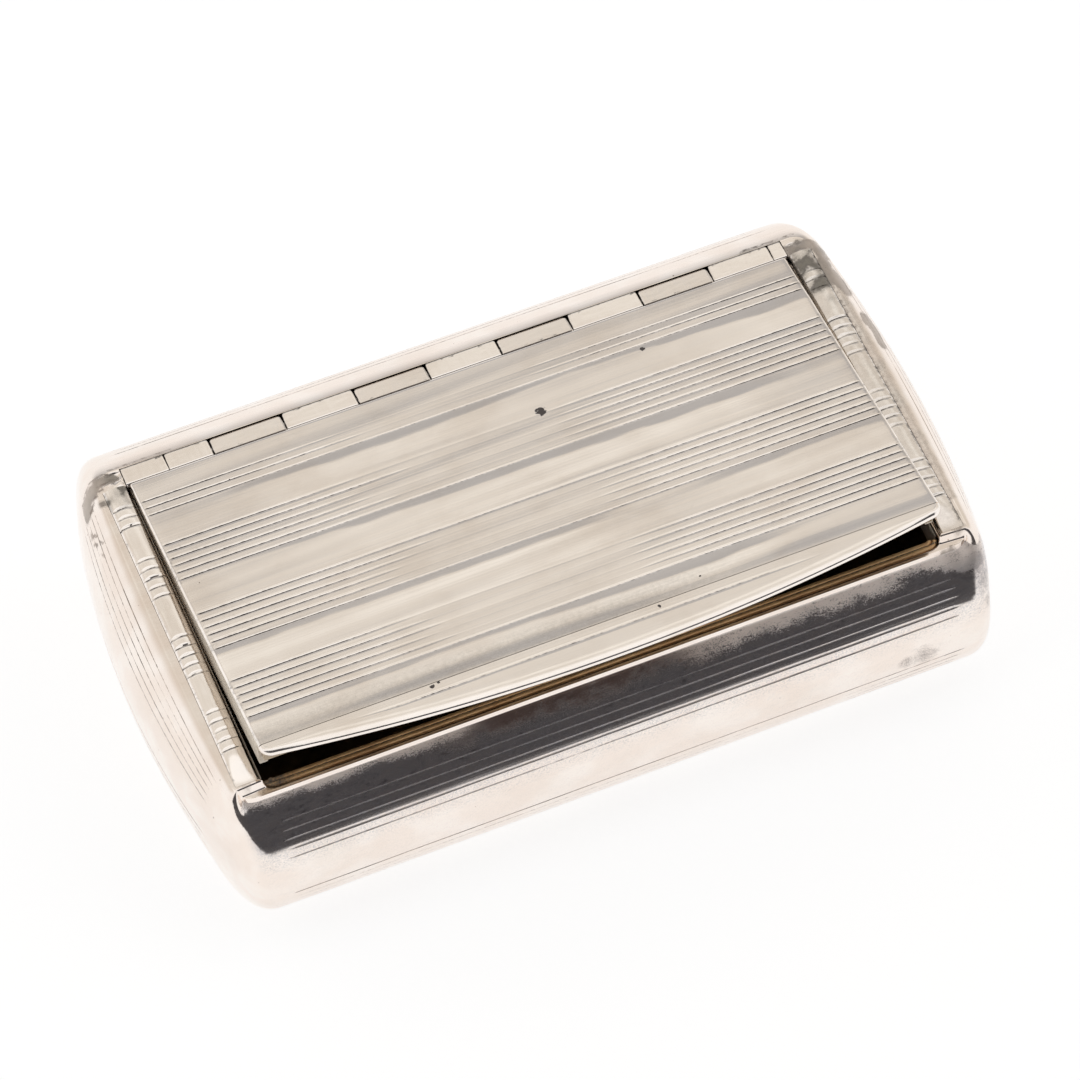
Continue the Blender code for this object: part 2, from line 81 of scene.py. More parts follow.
RIM_TOP = HEIGHT - LID_THICKNESS - SEAT_GAP
BACK_RADIUS = HEIGHT / 2 / sin(SWELL_START)
FRONT_RADIUS = RIM_TOP / 2 / sin(SWELL_START)
BACK_SWELL = BACK_RADIUS * (1 - cos(SWELL_START))
FRONT_SWELL = FRONT_RADIUS * (1 - cos(SWELL_START))
FRONT_Y = FRONT_SWELL - (TOP_DEPTH + FRONT_SWELL + BACK_SWELL) / 2
BACK_Y = FRONT_Y + TOP_DEPTH
MIDDLE_Y = (FRONT_Y + BACK_Y) / 2
HALF_TOP = TOP_LENGTH / 2
HALF_MOUTH = HALF_TOP - END_LAND
MOUTH_FRONT = FRONT_Y + RIM_WIDTH

# Hinge and lid
HINGE_BAND = 1.93 * MM
RUNNING_GAP = 0.12 * MM
AXIS_DEPTH = 0.75 * MM
AXIS_Y = BACK_Y - BACK_LAND - HINGE_BAND / 2
AXIS_Z = HEIGHT - AXIS_DEPTH
KNUCKLE_RADIUS = sqrt((HINGE_BAND / 2 - RUNNING_GAP) ** 2 + AXIS_DEPTH**2)
CHANNEL_RADIUS = KNUCKLE_RADIUS + RUNNING_GAP
BEARER_RADIUS = CHANNEL_RADIUS + 0.5 * MM
BEARER_LIP = 0.4 * MM
LID_GAP = 0.22 * MM
LID_SETBACK = 1.35 * MM
HALF_LID = HALF_MOUTH - LID_GAP
LID_BACK = -sqrt(CHANNEL_RADIUS**2 - AXIS_DEPTH**2)
LID_FRONT = FRONT_Y + LID_SETBACK - AXIS_Y
LID_DEPTH = LID_BACK - LID_FRONT
LID_SEAM = 0.12 * MM
LID_UNDER = AXIS_DEPTH - LID_THICKNESS
SEAM_Y = LID_FRONT - LID_SEAM / 2
AJAR = radians(8.0)
PLUG_REACH = 0.24 * MM
PLUG_SEAM = 0.08 * MM

# Bezels and flanges at the mouth's two sides, the flanges measured from the hinge's axis
SIDE_BEZEL = 0.12 * MM
FLANGE_INNER = 32.2 * MM
FLANGE_FOOT = -3.2 * MM
FLANGE_FRONT = -33.84 * MM
FLANGE_BACK = -2.95 * MM

# Thumb moulding
THUMB_LAND = 1.1 * MM
THUMB_BOW = 2.7 * MM
THUMB_CORNER = 1.2 * MM
THUMB_LINE = -18.6 * MM

# Reeding
GROUP_SHARES = (0.105, 0.315, 0.580, 0.832)
LID_LINES = (3, 6, 6, 6)
STRIP_LINES = (3, 5, 5, 5)
LID_PITCH = 0.90 * MM
STRIP_PITCH = 1.05 * MM
LINE_WIDTH = 0.24 * MM
LINE_DEPTH = 0.045 * MM
LID_TOP_SINK = 0.05 * MM
LID_SIDE_ROUND = 0.3 * MM
WALL_LINE_WIDTH = 0.22 * MM
WALL_LINE_DEPTH = 0.035 * MM
WALL_GROUP_SHARES = (0.735, -0.050)
WALL_LINES = 5
WALL_PITCH_SHARE = 0.0865
WALL_LINE_TURN = WALL_LINE_WIDTH / (BACK_RADIUS * SWELL_START)

# How finely forms are drawn
LONG_STEPS = 170
END_STEPS = 84
CORNER_STEPS = 28
WALL_STEPS = 96
TOP_STEPS = 15
LIP_STEPS = 6
CAVITY_STEPS = 20
LID_STEPS = 190
LID_COLUMNS = 230
THUMB_STEPS = 146
THUMB_CORNER_STEPS = 14
STRIP_STEPS = 300
OVERRUN = 1.0 * MM


def smooth(value):
    """A soft step from 0 to 1 as the value goes from 0 to 1."""
    value = min(1.0, max(0.0, value))
    return value * value * (3 - 2 * value)


def valley(distance, width):
    """A rounded engraved line's share of its depth at a distance from its middle."""
    share = abs(distance) / (width / 2)
    return 0.0 if share >= 1 else (1 - share * share) ** 2


def drift(*place):
    """Slow, even noise between -1 and 1."""
    return noise.noise(Vector(place))


def mix(one, two, share):
    return one + (two - one) * share


def flat(rows):
    return [value for row in rows for value in row]


def lid_place(x, y, z):
    """Turns a place on the closed lid, measured from the hinge's axis, into its resting place."""
    turned_y = y * cos(AJAR) + z * sin(AJAR)
    turned_z = z * cos(AJAR) - y * sin(AJAR)
    return (x, AXIS_Y + turned_y, AXIS_Z + turned_z)


# Mesh helpers

def skin(rows, around=False, open_rows=False):
    """A closed skin through rows of equally many points: each row is a loop, or the rows together are one."""
    builder = bmesh.new()
    made = [[builder.verts.new(point) for point in row] for row in rows]
    pairs = list(zip(made, made[1:]))
    if around:
        pairs.append((made[-1], made[0]))
    for one, two in pairs:
        count = len(one)
        for k in range(count - 1 if open_rows else count):
            n = (k + 1) % count
            builder.faces.new((one[k], one[n], two[n], two[k]))
    if open_rows:
        builder.faces.new([row[0] for row in made])
        builder.faces.new([row[-1] for row in made])
    elif not around:
        builder.faces.new(made[0])
        builder.faces.new(made[-1])
    return builder


def add_piece(name, builder, material, body, sharp=40.0):
    """Makes a piece with sharp edges past an angle in degrees, and lets it ride on a body."""
    bmesh.ops.recalc_face_normals(builder, faces=builder.faces)
    mesh = bpy.data.meshes.new(name)
    builder.to_mesh(mesh)
    builder.free()
    mesh.shade_smooth()
    mesh.set_sharp_from_angle(angle=radians(sharp))
    piece = bpy.data.objects.new(name, mesh)
    bpy.context.scene.collection.objects.link(piece)
    if material:
        mesh.materials.append(material)
    if body:
        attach(piece, body)
    return piece


def soil(piece, grime, name="grime"):
    """Stores a share of grime for each point, given in a list or worked out from its place; on the lid and
    the knuckles it also holds painted shade.
    """
    layer = piece.data.attributes.new(name, "FLOAT", "POINT")
    values = grime if isinstance(grime, list) else [grime(point.co) for point in piece.data.vertices]
    layer.data.foreach_set("value", values)


def arc(centre, radius, start, end, steps):
    turns = [start + (end - start) * k / steps for k in range(steps + 1)]
    return [(centre[0] + radius * cos(a), centre[1] + radius * sin(a)) for a in turns]


def carve(piece, builder):
    """Cuts a closed form out of a piece and drops the cutter."""
    cutter = add_piece("cutter", builder, None, None)
    step = piece.modifiers.new("carve", "BOOLEAN")
    step.operation = "DIFFERENCE"
    step.solver = "EXACT"
    step.object = cutter
    with bpy.context.temp_override(object=piece, active_object=piece):
        bpy.ops.object.modifier_apply(modifier=step.name)
    mesh = cutter.data
    bpy.data.objects.remove(cutter, do_unlink=True)
    bpy.data.meshes.remove(mesh)


# Wall

def wall_stations():
    """Places round the top edge, each with its outward direction and its partner on the mouth's edge."""
    inner = HALF_TOP - TOP_CORNER
    near, far = FRONT_Y + TOP_CORNER, BACK_Y - TOP_CORNER
    mouth_inner = HALF_MOUTH - MOUTH_CORNER
    mouth_near, mouth_far = MOUTH_FRONT + MOUTH_CORNER, AXIS_Y - BACK_CORNER
    sides = (
        ((-inner, FRONT_Y), (inner, FRONT_Y), (0, -1), LONG_STEPS, (inner, near), -pi / 2),
        ((HALF_TOP, near), (HALF_TOP, far), (1, 0), END_STEPS, (inner, far), 0.0),
        ((inner, BACK_Y), (-inner, BACK_Y), (0, 1), LONG_STEPS, (-inner, far), pi / 2),
        ((-HALF_TOP, far), (-HALF_TOP, near), (-1, 0), END_STEPS, (-inner, near), pi),
    )
    places = []
    for start, end, (out_x, out_y), steps, centre, angle in sides:
        for k in range(steps):
            x, y = (mix(start[axis], end[axis], k / steps) for axis in (0, 1))
            mouth = (x * mouth_inner / inner, MOUTH_FRONT if out_y < 0 else AXIS_Y)
            if out_x:
                mouth = (out_x * HALF_MOUTH, mix(mouth_near, mouth_far, (y - near) / (far - near)))
            places.append((x, y, out_x, out_y, *mouth))
        for k in range(CORNER_STEPS):
            turn = angle + pi / 2 * k / CORNER_STEPS
            out_x, out_y = cos(turn), sin(turn)
            radius = MOUTH_CORNER if out_y < 0 else BACK_CORNER
            mouth_x = (HALF_MOUTH - radius) * (1 if centre[0] > 0 else -1) + radius * out_x
            mouth_y = (mouth_near if centre[1] < 0 else mouth_far) + radius * out_y
            x, y = centre[0] + TOP_CORNER * out_x, centre[1] + TOP_CORNER * out_y
            places.append((x, y, out_x, out_y, mouth_x, mouth_y))
    return places


def side_arc(out_y):
    """The height and radius of a long side's arc, which is lower in front, where the lid lies over it."""
    top = RIM_TOP if out_y < 0 else HEIGHT
    return top, top / 2 / sin(SWELL_START)


def end_swell(y, out_x, out_y, side_out):
    """How far an end stands out at its middle height, bowed in the plan and tucked in at its corners."""
    reach = TOP_DEPTH / 2 - TOP_CORNER
    share = min(abs(y - MIDDLE_Y) / reach, 1.0)
    tuck = 2 * END_BOW / reach * (TOP_CORNER + side_out) * abs(out_y) * out_x**2
    return END_SWELL + END_BOW * (1 - share**2) - tuck


def side_share(out_y, turn=1.0):
    """How far a corner place belongs to the long side: at the front's top it changes over in a short step."""
    if out_y >= 0:
        return out_y**2
    return mix(out_y**2, smooth((-out_y - 0.45) / 0.3), smooth((turn - 0.7) / 0.3))


def top_level(out_y):
    """The height of the top edge: lower along the front."""
    return mix(HEIGHT, RIM_TOP, side_share(out_y)) if out_y < 0 else HEIGHT


def wall_lines():
    return [first - k * WALL_PITCH_SHARE for first in WALL_GROUP_SHARES for k in range(WALL_LINES)]


def wall_levels():
    """Turns of the rings down the wall, closer together across each reeded line and at the rim."""
    half = WALL_LINE_TURN / 2
    lines = wall_lines()
    even = [1 - 2 * k / WALL_STEPS for k in range(WALL_STEPS + 1)]
    turns = [turn for turn in even if all(abs(turn - line) > 1.3 * half for line in lines)]
    for line in lines:
        turns += [line + half * share for share in (-1.0, -0.5, 0.0, 0.5, 1.0)]
    at_rim = [1 - 0.004 * k for k in range(1, 13)]
    return sorted([turn for turn in turns if turn == 1 or turn < 0.95] + at_rim, reverse=True)


def towards_right(x):
    """How far a place lies towards the right half of the front, where the upper lines are less worn."""
    return smooth((x - 4 * MM) / (16 * MM))


def wall_line_share(place, turn):
    """How strongly a reeded line cuts this place, from 0 to 1."""
    x, y, out_x, out_y = place[:4]
    if abs(out_x * out_y) > 0.01:
        return 0.0
    long_side = abs(out_y) > 0.5
    along = x if long_side else y - MIDDLE_Y
    reach = (HALF_TOP if long_side else TOP_DEPTH / 2) - TOP_CORNER
    share = 0.0
    for k, line in enumerate(wall_lines()):
        start = (0.3 + 1.1 * abs(drift(k * 2.3, out_x * 5 + out_y * 3, 0.5))) * MM
        fade = smooth((reach - abs(along) - start) / (1.6 * MM))
        strength = 0.72 + 0.5 * drift(along / MM * 0.10, k * 3.7, out_x * 9 + out_y * 4)
        if out_y < -0.5 and k > WALL_LINES:
            strength *= mix(0.2, 0.8, smooth((x - 18 * MM) / (10 * MM)))
        elif out_y < -0.5 and k < WALL_LINES:
            strength *= mix(0.4, 1.0, towards_right(x))
        share += fade * strength * valley(turn - line, WALL_LINE_TURN)
    return share


def wall_sink(place, turn):
    """How far the wall lies inside its true form: dents, lines, and a fall below the rim's rolled edge."""
    x, y, _, out_y = place[:4]
    dents = 0.016 * MM * drift(x / MM * 0.16, y / MM * 0.16, turn * 3)
    size = mix(0.8, 1.05, smooth((x + 20 * MM) / (45 * MM)))
    below_rim = smooth((-out_y - 0.4) / 0.35) * min(size, (1 - turn) / 0.040) * smooth((turn + 0.2) / 1.2)
    return WALL_LINE_DEPTH * wall_line_share(place, turn) + dents + WALL_INSET + RIM_STEP * below_rim


def wall_point(place, turn):
    """A point on the wall's outside, turn 1 at the top edge and -1 at the foot, sunk along its normal."""
    x, y, out_x, out_y = place[:4]
    top, radius = side_arc(out_y)
    side = side_share(out_y, turn)
    side_out = radius * (cos(SWELL_START * turn) - cos(SWELL_START))
    side_up = top / 2 + radius * sin(SWELL_START * turn)
    end_out = end_swell(y, out_x, out_y, side_out) * cos(turn * pi / 2)
    end_up = HEIGHT / 2 * (1 + sin(turn * pi / 2))
    sink = wall_sink(place, turn)
    level = sink * cos(SWELL_START * turn)
    up = side * side_up + (1 - side) * end_up - sink * sin(SWELL_START * turn)
    return (x + out_x * (end_out - level), y + out_y * (side_out - level), up)


# Old solder and dirt on the top: a bent line in millimetres, its reach to each side, its strength
SOLDER_RIDGES = (
    (((-37.0, 15.9), (-35.4, 16.9), (-34.5, 17.3)), 0.45, 0.20),
    (((-36.5, 15.8), (-35.0, 16.4), (-33.4, 16.9)), 0.8, 0.18),
    (((34.5, 16.4), (35.2, 16.2), (35.3, 15.4)), 0.7, 0.12),
)
SOLDER_HOLLOWS = (
    (((-37.9, 15.4), (-37.4, 16.3), (-36.5, 17.2), (-35.4, 17.8), (-34.0, 17.8)), 0.8, 0.13),
    (((33.8, 17.1), (34.9, 17.1), (35.9, 16.6), (36.3, 15.6), (36.0, 14.4)), 0.8, 0.13),
)
TOP_DIRT = (
    (((-38.3, 15.6), (-38.2, 16.3), (-37.6, 17.4), (-36.4, 18.3), (-35.2, 18.5), (-34.3, 18.2)), 0.2, 0.62),
    (((-37.2, 15.6), (-36.6, 16.4), (-35.6, 16.9)), 0.26, 0.7),
    (((-36.0, 17.3), (-35.0, 17.5), (-34.2, 17.3)), 0.2, 0.55),
    (((-35.9, 15.6), (-35.2, 15.9), (-34.3, 15.6)), 0.2, 0.5),
    (((-38.2, 14.2), (-37.9, 13.4)), 0.2, 0.6),
    (((-37.9, 14.0), (-37.6, 13.1)), 0.2, 0.6),
    (((-38.0, 12.9), (-37.75, 12.1)), 0.2, 0.6),
    (((-37.6, 12.6), (-37.4, 11.8)), 0.2, 0.6),
    (((-37.9, 11.4), (-37.7, 10.6)), 0.18, 0.55),
    (((-34.4, 18.7), (-31.5, 18.72), (-28.3, 18.7)), 0.22, 0.5),
    (((35.9, 12.4), (35.75, 9.3), (35.75, 0.0), (35.7, -10.0), (35.4, -14.0)), 0.4, 0.36),
    (((29.4, 18.72), (32.0, 18.74), (34.9, 18.75)), 0.3, 0.45),
    (((34.2, -14.2), (36.0, -14.5)), 0.35, 0.5),
    (((35.4, -14.8), (35.4, -16.4), (35.2, -17.2)), 0.4, 0.5),
)
TOP_FILM = (
    (((-37.7, 16.0), (-37.4, 16.5), (-36.7, 17.2), (-35.6, 17.7), (-34.5, 17.7)), 0.85, 1.0),
    (((-36.2, 15.4), (-35.4, 15.0), (-34.6, 15.1)), 0.6, 0.6),
    (((-35.4, 14.6), (-35.1, 13.6)), 0.55, 0.6),
    (((33.4, 17.1), (34.9, 17.2), (35.8, 17.0), (36.5, 16.0), (36.2, 14.0), (35.9, 12.4)), 1.0, 0.72),
    (((34.2, 15.0), (35.1, 15.0), (35.3, 15.8)), 0.6, 0.6),
    (((36.6, 12.8), (36.9, 11.0)), 0.9, 0.8),
    (((37.4, 7.8), (37.6, 5.8), (37.6, 4.2)), 0.62, 1.0),
    (((36.1, 12.0), (36.1, 0.0), (35.9, -14.0)), 0.9, 0.42),
    (((29.6, 18.2), (30.0, 18.5)), 0.8, 0.4),
    (((35.0, -15.0), (35.0, -17.4)), 1.0, 0.6),
    (((33.2, -19.6), (34.6, -19.9), (35.9, -20.2), (36.5, -21.0)), 1.2, 0.9),
    (((-35.0, -16.0), (-34.8, -17.6)), 0.8, 0.35),
)


def path_distance(x, y, path):
    """The distance in the plan from a place to a bent line given in millimetres."""
    nearest = 1.0
    for (start_x, start_y), (end_x, end_y) in zip(path, path[1:]):
        run_x, run_y = (end_x - start_x) * MM, (end_y - start_y) * MM
        off_x, off_y = x - start_x * MM, y - start_y * MM
        share = min(1.0, max(0.0, (off_x * run_x + off_y * run_y) / (run_x**2 + run_y**2)))
        nearest = min(nearest, hypot(off_x - share * run_x, off_y - share * run_y))
    return nearest


def marks(x, y, paths, crisp=1.25):
    """The strongest of some marks at a place, with ragged edges that a higher crispness makes harder."""
    strongest = 0.0
    for path, width, strength in paths:
        distance = path_distance(x, y, path)
        if distance < width * MM:
            ragged = 1 + 0.45 * drift(x / MM * 1.6, y / MM * 1.6, width * 9)
            strongest = max(strongest, strength * smooth(crisp * (1 - distance * ragged / (width * MM))))
    return strongest


def top_marks(place, paths, crisp=1.25):
    """The marks at a point of the wall, which end a little way below the top."""
    high = smooth((place.z - HEIGHT + 3.0 * MM) / (0.8 * MM))
    return high * marks(place.x, place.y, paths, crisp) if high > 0 else 0.0


def land_point(place, share):
    """A point between the wall's edge and the mouth's lip, raised by old solder in the two back corners."""
    x, y, out_x, out_y, mouth_x, mouth_y = place
    x = mix(x - out_x * EDGE_WIDTH, mouth_x + out_x * MOUTH_LIP, share)
    y = mix(y - out_y * EDGE_WIDTH, mouth_y + out_y * MOUTH_LIP, share)
    lump = 0.0
    if out_y > 0.02 or abs(out_x) > 0.99:
        lump = (marks(x, y, SOLDER_RIDGES) - marks(x, y, SOLDER_HOLLOWS)) * MM
    return (x, y, top_level(out_y) - TOP_SINK + lump * smooth(share * 3))


def lip_point(place, angle):
    """A point on the mouth's rounded lip."""
    out_x, out_y, mouth_x, mouth_y = place[2:]
    inset = MOUTH_LIP * (1 - sin(angle))
    level = top_level(out_y) - TOP_SINK - MOUTH_LIP * (1 - cos(angle))
    return (mouth_x + out_x * inset, mouth_y + out_y * inset, level)


def top_rows(places):
    """Rings across the top, from the wall's edge to the mouth's rounded lip."""
    rows = []
    for inset, drop in ((0.05 * MM, 0.012 * MM), (EDGE_WIDTH, 0.004 * MM)):
        rows.append([(*inset_place(place, inset), top_level(place[3]) - drop) for place in places])
    rows += [[land_point(place, k / TOP_STEPS) for place in places] for k in range(1, TOP_STEPS)]
    rows += [[lip_point(place, pi / 2 * k / LIP_STEPS) for place in places] for k in range(LIP_STEPS + 1)]
    return rows


def inset_place(place, inset):
    x, y, out_x, out_y = place[:4]
    return x - out_x * inset, y - out_y * inset


def foot_rows(places):
    """The foot's inner edge, which the base plate fills."""
    return [[(*inset_place(place, FOOT_WIDTH), level) for place in places] for level in (0.0, FLOOR)]


def cavity_point(place, z):
    x, y, out_x, out_y = place[:4]
    top, radius = side_arc(out_y)
    side_out = sqrt((radius - WALL) ** 2 - (z - top / 2) ** 2) - radius * cos(SWELL_START)
    rise = (z - HEIGHT / 2) / (HEIGHT / 2 - WALL)
    end_out = (end_swell(y, out_x, out_y, side_out) - WALL) * sqrt(1 - rise**2)
    return (x + out_x * end_out, y + out_y * side_out, z)


def cavity_rows(places):
    """Rings up the inside of the wall, then along the underside of the top to the mouth."""
    levels = [mix(FLOOR, CEILING, (1 - cos(pi * k / CAVITY_STEPS)) / 2) for k in range(CAVITY_STEPS + 1)]
    rows = [[cavity_point(place, z) for place in places] for z in levels]
    return rows + [[(*place[4:], CEILING) for place in places]]


def hinge_room():
    """The form cut out of the wall for the hinge's channel and its bearers."""
    axis = (AXIS_Y, AXIS_Z)
    lip = AXIS_DEPTH - BEARER_LIP
    radius = BEARER_RADIUS + SEAT_GAP
    high, low = (asin(level / CHANNEL_RADIUS) for level in (AXIS_DEPTH, lip))
    channel = arc(axis, CHANNEL_RADIUS, high, low, 4)
    room = arc(axis, radius, asin(lip / radius), -pi / 2, 20)
    front = AXIS_Y - KNUCKLE_RADIUS
    above = HEIGHT + OVERRUN
    section = [(front, above), (channel[0][0], above)] + channel + room + [(front, AXIS_Z - radius)]
    half = HALF_MOUTH + SEAT_GAP / 2
    return skin([[(x, y, z) for y, z in section] for x in (-half, half)])


def strip_room(side):
    """The form cut out of an end of the top for its strip."""
    outer = HALF_MOUTH + SEAT_GAP + STRIP_WIDTH + FINE_GAP
    low = HEIGHT - STRIP_DEPTH - SEAT_GAP
    left, right = sorted((side * (HALF_MOUTH - SEAT_GAP), side * outer))
    front, back = FRONT_Y + STRIP_SETBACK - FINE_GAP, AXIS_Y + LID_BACK + FINE_GAP
    outline = [(left, front), (right, front), (right, back), (left, back)]
    return skin([[(x, y, z) for x, y in outline] for z in (low, HEIGHT + OVERRUN)])


def wall_grime(places, turns, outside):
    """A function for the grime at a point of the wall: dirt in the line it lies in, and on the top."""
    shares = [wall_line_share(place, turn) for turn in turns for place in places]
    tree = KDTree(len(shares))
    for number, point in enumerate(flat(outside)):
        tree.insert(point, number)
    tree.balance()

    def grime(place):
        _, nearest, distance = tree.find(place)
        line = shares[nearest] if distance < 0.05 * MM else 0.0
        strength = mix(3.6, 1.5, towards_right(place.x)) if place.y < FRONT_Y else 1.1
        return min(1.0, strength * line + top_marks(place, TOP_DIRT))

    return grime


def make_wall(material, inside):
    places = wall_stations()
    turns = wall_levels()
    outside = [[wall_point(place, turn) for place in places] for turn in turns]
    cavity = cavity_rows(places)
    builder = skin(outside + foot_rows(places) + cavity + top_rows(places)[::-1], around=True)
    first = len(outside) + 1
    for number, face in enumerate(builder.faces):
        face.material_index = int(first <= number // len(places) < first + len(cavity))
    bmesh.ops.triangulate(builder, faces=builder.faces)
    piece = add_piece("box_shell", builder, material, "box")
    piece.data.materials.append(inside)
    for cutter in (hinge_room(), strip_room(-1), strip_room(1)):
        carve(piece, cutter)
    soil(piece, wall_grime(places, turns, outside))
    soil(piece, lambda place: top_marks(place, TOP_FILM, 1.7), "film")
    piece.data.shade_smooth()
    piece.data.set_sharp_from_angle(angle=radians(40))
    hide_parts("body_wall")


# Lid

def group_places(counts, pitch):
    """Groups of lines as distances from the lid's back edge."""
    groups = []
    for share, count in zip(GROUP_SHARES, counts):
        groups.append([share * LID_DEPTH + (k - (count - 1) / 2) * pitch for k in range(count)])
    return groups


LID_GROUPS = group_places(LID_LINES, LID_PITCH)


def line_strength(group, number, x):
    """Worn lines: the last of a group runs right across, the others are rubbed away in the middle."""
    seed = group * 11 + number * 5
    left = (-12.0 + 9 * drift(group * 7.1 + number * 3.3, 4.0, 1.0)) * MM
    right = (4.0 + 9 * drift(seed, 2.0, 6.0)) * MM
    ends = max(smooth((left - x) / (9 * MM)), smooth((x - right) / (10 * MM)))
    last = number == LID_LINES[group] - 1 or (group == 2 and number == 0)
    ripple = 0.85 + 0.35 * drift(x / MM * 0.09, seed, 3.0)
    border = smooth((HALF_LID - abs(x) - 0.35 * MM) / (0.35 * MM))
    return max(ends, 0.62 if last else 0.04) * ripple * border


def lid_lines(distance, x):
    """How deep a line cuts a place of the lid, the dirt in it, and the haze about its group, which is painted
    shade: a faint grey darkening over the group.
    """
    cut = dirt = haze = 0.0
    for group, places in enumerate(LID_GROUPS):
        near = smooth((distance - places[0]) / MM + 1) * smooth((places[-1] - distance) / MM + 1)
        haze = max(haze, near)
        for count, place in enumerate(places):
            off = distance - place
            if abs(off) < LINE_WIDTH / 2:
                strength = line_strength(group, count, x)
                cut = strength * valley(off, LINE_WIDTH)
                dirt = strength * valley(off - 0.15 * LINE_WIDTH, LINE_WIDTH * 0.8)
    return cut, dirt, haze


def lid_distances():
    """Distances from the lid's back edge, closer together across each line."""
    half = LINE_WIDTH / 2
    lines = flat(LID_GROUPS)
    even = [LID_DEPTH * k / LID_STEPS for k in range(LID_STEPS + 1)]
    rows = [place for place in even if all(abs(place - line) > 1.2 * half for line in lines)]
    for line in lines:
        rows += [line + half * share for share in (-1.0, -0.6, -0.25, 0.0, 0.25, 0.6, 1.0)]
    return sorted(rows)


def panel_slope(distance, x):
    """The slope of the burnished panels: a hollow in front of each group of lines, a faint one behind."""
    along = x / MM
    ends = [group[0] for group in LID_GROUPS[1:]] + [LID_DEPTH]
    for number, (group, end) in enumerate(zip(LID_GROUPS, ends)):
        start = group[-1]
        if not start < distance < end:
            continue
        width = 1.05 + 0.7 * drift(along * 0.05, number * 4.4, 9.0)
        width = (width + 0.2 * drift(along * 0.3, number, 2.0)) * MM
        narrow = (0.35 + 0.3 * drift(along * 0.07, number * 2.9, 4.0)) * MM
        strength = 0.062 * smooth(0.9 + 1.6 * drift(along * 0.05, number * 6.1, 5.0))
        band = smooth((width - (distance - start)) / (0.25 * MM))
        near = smooth(1 - abs(end - distance - 0.5 * MM) / narrow)
        behind = 0.6 * near * smooth(0.3 + 1.8 * drift(along * 0.06, number * 3.7, 8.0))
        rest = end - start - width
        return strength * (band + behind) - strength * (width + narrow / 2) / rest * (1 - band)
    return 0.0


def side_drop(x):
    """How far the lid's top falls away at its rounded side edges."""
    from_edge = HALF_LID - abs(x)
    near = 1 - min(1.0, from_edge / LID_SIDE_ROUND)
    rounding = LID_SIDE_ROUND * (1 - sqrt(max(0.0, 1 - near**2)))
    return rounding + 0.02 * MM * smooth(1 - from_edge / (0.9 * MM))


def lid_waves(x, distance):
    """Slow waves left by years of polishing, drawn out along the lid."""
    along, across = x / MM, distance / MM
    return 0.014 * MM * drift(along * 0.045, (across + 0.05 * along) * 0.75, 7.0)


def lid_columns():
    edges = [share * LID_SIDE_ROUND for share in (0.0, 0.06, 0.18, 0.36, 0.62, 1.0)] + [0.55 * MM]
    inner = [(HALF_LID - 0.8 * MM) * (2 * k / LID_COLUMNS - 1) for k in range(LID_COLUMNS + 1)]
    return [-HALF_LID + edge for edge in edges] + inner + [HALF_LID - edge for edge in reversed(edges)]


def lid_row(x, distances):
    """The lid's outline at a place along it, and the grime and the film at each of its points: the grime
    holds dirt in the lines, with painted shade along the side edges and over each group of lines.
    """
    ends = smooth((abs(x) - HALF_LID + 15 * MM) / (13 * MM))
    # Painted shade: a darker band painted along each side edge, where the top rounds away.
    border = 0.16 * smooth(1 - (HALF_LID - abs(x)) / (0.8 * MM))
    left = smooth((24 * MM - x) / (20 * MM))
    row, grime, film = [], [], []
    panel = last = 0.0
    for distance in distances:
        panel += panel_slope(distance, x) * (distance - last)
        last = distance
        cut, dirt, haze = lid_lines(distance, x)
        front = smooth((LID_DEPTH - distance) / (1.5 * MM))
        sink = LID_TOP_SINK - panel * front + LINE_DEPTH * cut + side_drop(x)
        sink += lid_waves(x, distance) * front + 0.10 * MM * smooth(1 - distance / (0.14 * MM))
        row.append((x, LID_BACK - distance, AXIS_DEPTH - sink))
        # The haze term adds painted shade: a faint grey darkening over each group of lines towards the lid's
        # ends.
        grime.append(min(1.0, dirt * (0.75 + 0.75 * ends) + 0.13 * haze * ends + border))
        film.append(0.26 * smooth((distance - LID_GROUPS[-1][-1]) / (2 * MM)) * left)
    low, high = (pi - asin(level / CHANNEL_RADIUS) for level in (LID_UNDER, AXIS_DEPTH - 0.16 * MM))
    back = arc((0, 0), CHANNEL_RADIUS, low, high, 4)[:-1]
    row += [(x, SEAM_Y, LID_UNDER)] + [(x, y, z) for y, z in back]
    clean = [0.0] * (1 + len(back))
    return [lid_place(*point) for point in row], grime + clean, film + clean


def make_lid(material, edge_material, inside):
    distances = lid_distances()
    rows, grime, film = zip(*(lid_row(x, distances) for x in lid_columns()))
    piece = add_piece("lid_top", skin(rows), material, "lid")
    soil(piece, flat(grime))
    soil(piece, flat(film), "film")
    piece.data.materials.append(edge_material)
    piece.data.materials.append(inside)
    for face in piece.data.polygons:
        if abs(face.normal.x) > 0.9:
            face.material_index = 1
        elif face.normal.z < -0.9:
            face.material_index = 2
    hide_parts("lid_plate")


def thumb_row(inset):
    """The moulding's front outline from seam to seam at an inset, which is less at its two ends."""
    side_end = LID_FRONT - LID_SEAM - THUMB_LAND + THUMB_CORNER
    chord = HALF_LID - THUMB_CORNER
    last = THUMB_STEPS + THUMB_CORNER_STEPS
    points = []
    for k in range(-THUMB_CORNER_STEPS, last + 1):
        if 0 <= k <= THUMB_STEPS:
            share = 2 * k / THUMB_STEPS - 1
            own = inset * mix(0.5, 1.0, smooth((1 - abs(share)) * 6))
            points.append((chord * share, side_end - THUMB_CORNER + own - THUMB_BOW * (1 - share**2)))
        else:
            away = (k + THUMB_CORNER_STEPS if k < 0 else last - k) / THUMB_CORNER_STEPS
            radius = max(THUMB_CORNER - inset * mix(0.3, 0.5, away), 0.04 * MM)
            angle = pi / 2 * away
            side = -1 if k < 0 else 1
            points.append((side * (chord + radius * cos(angle)), side_end - radius * sin(angle)))
    return [(x, min(y, SEAM_Y - 0.03 * MM)) for x, y in points]


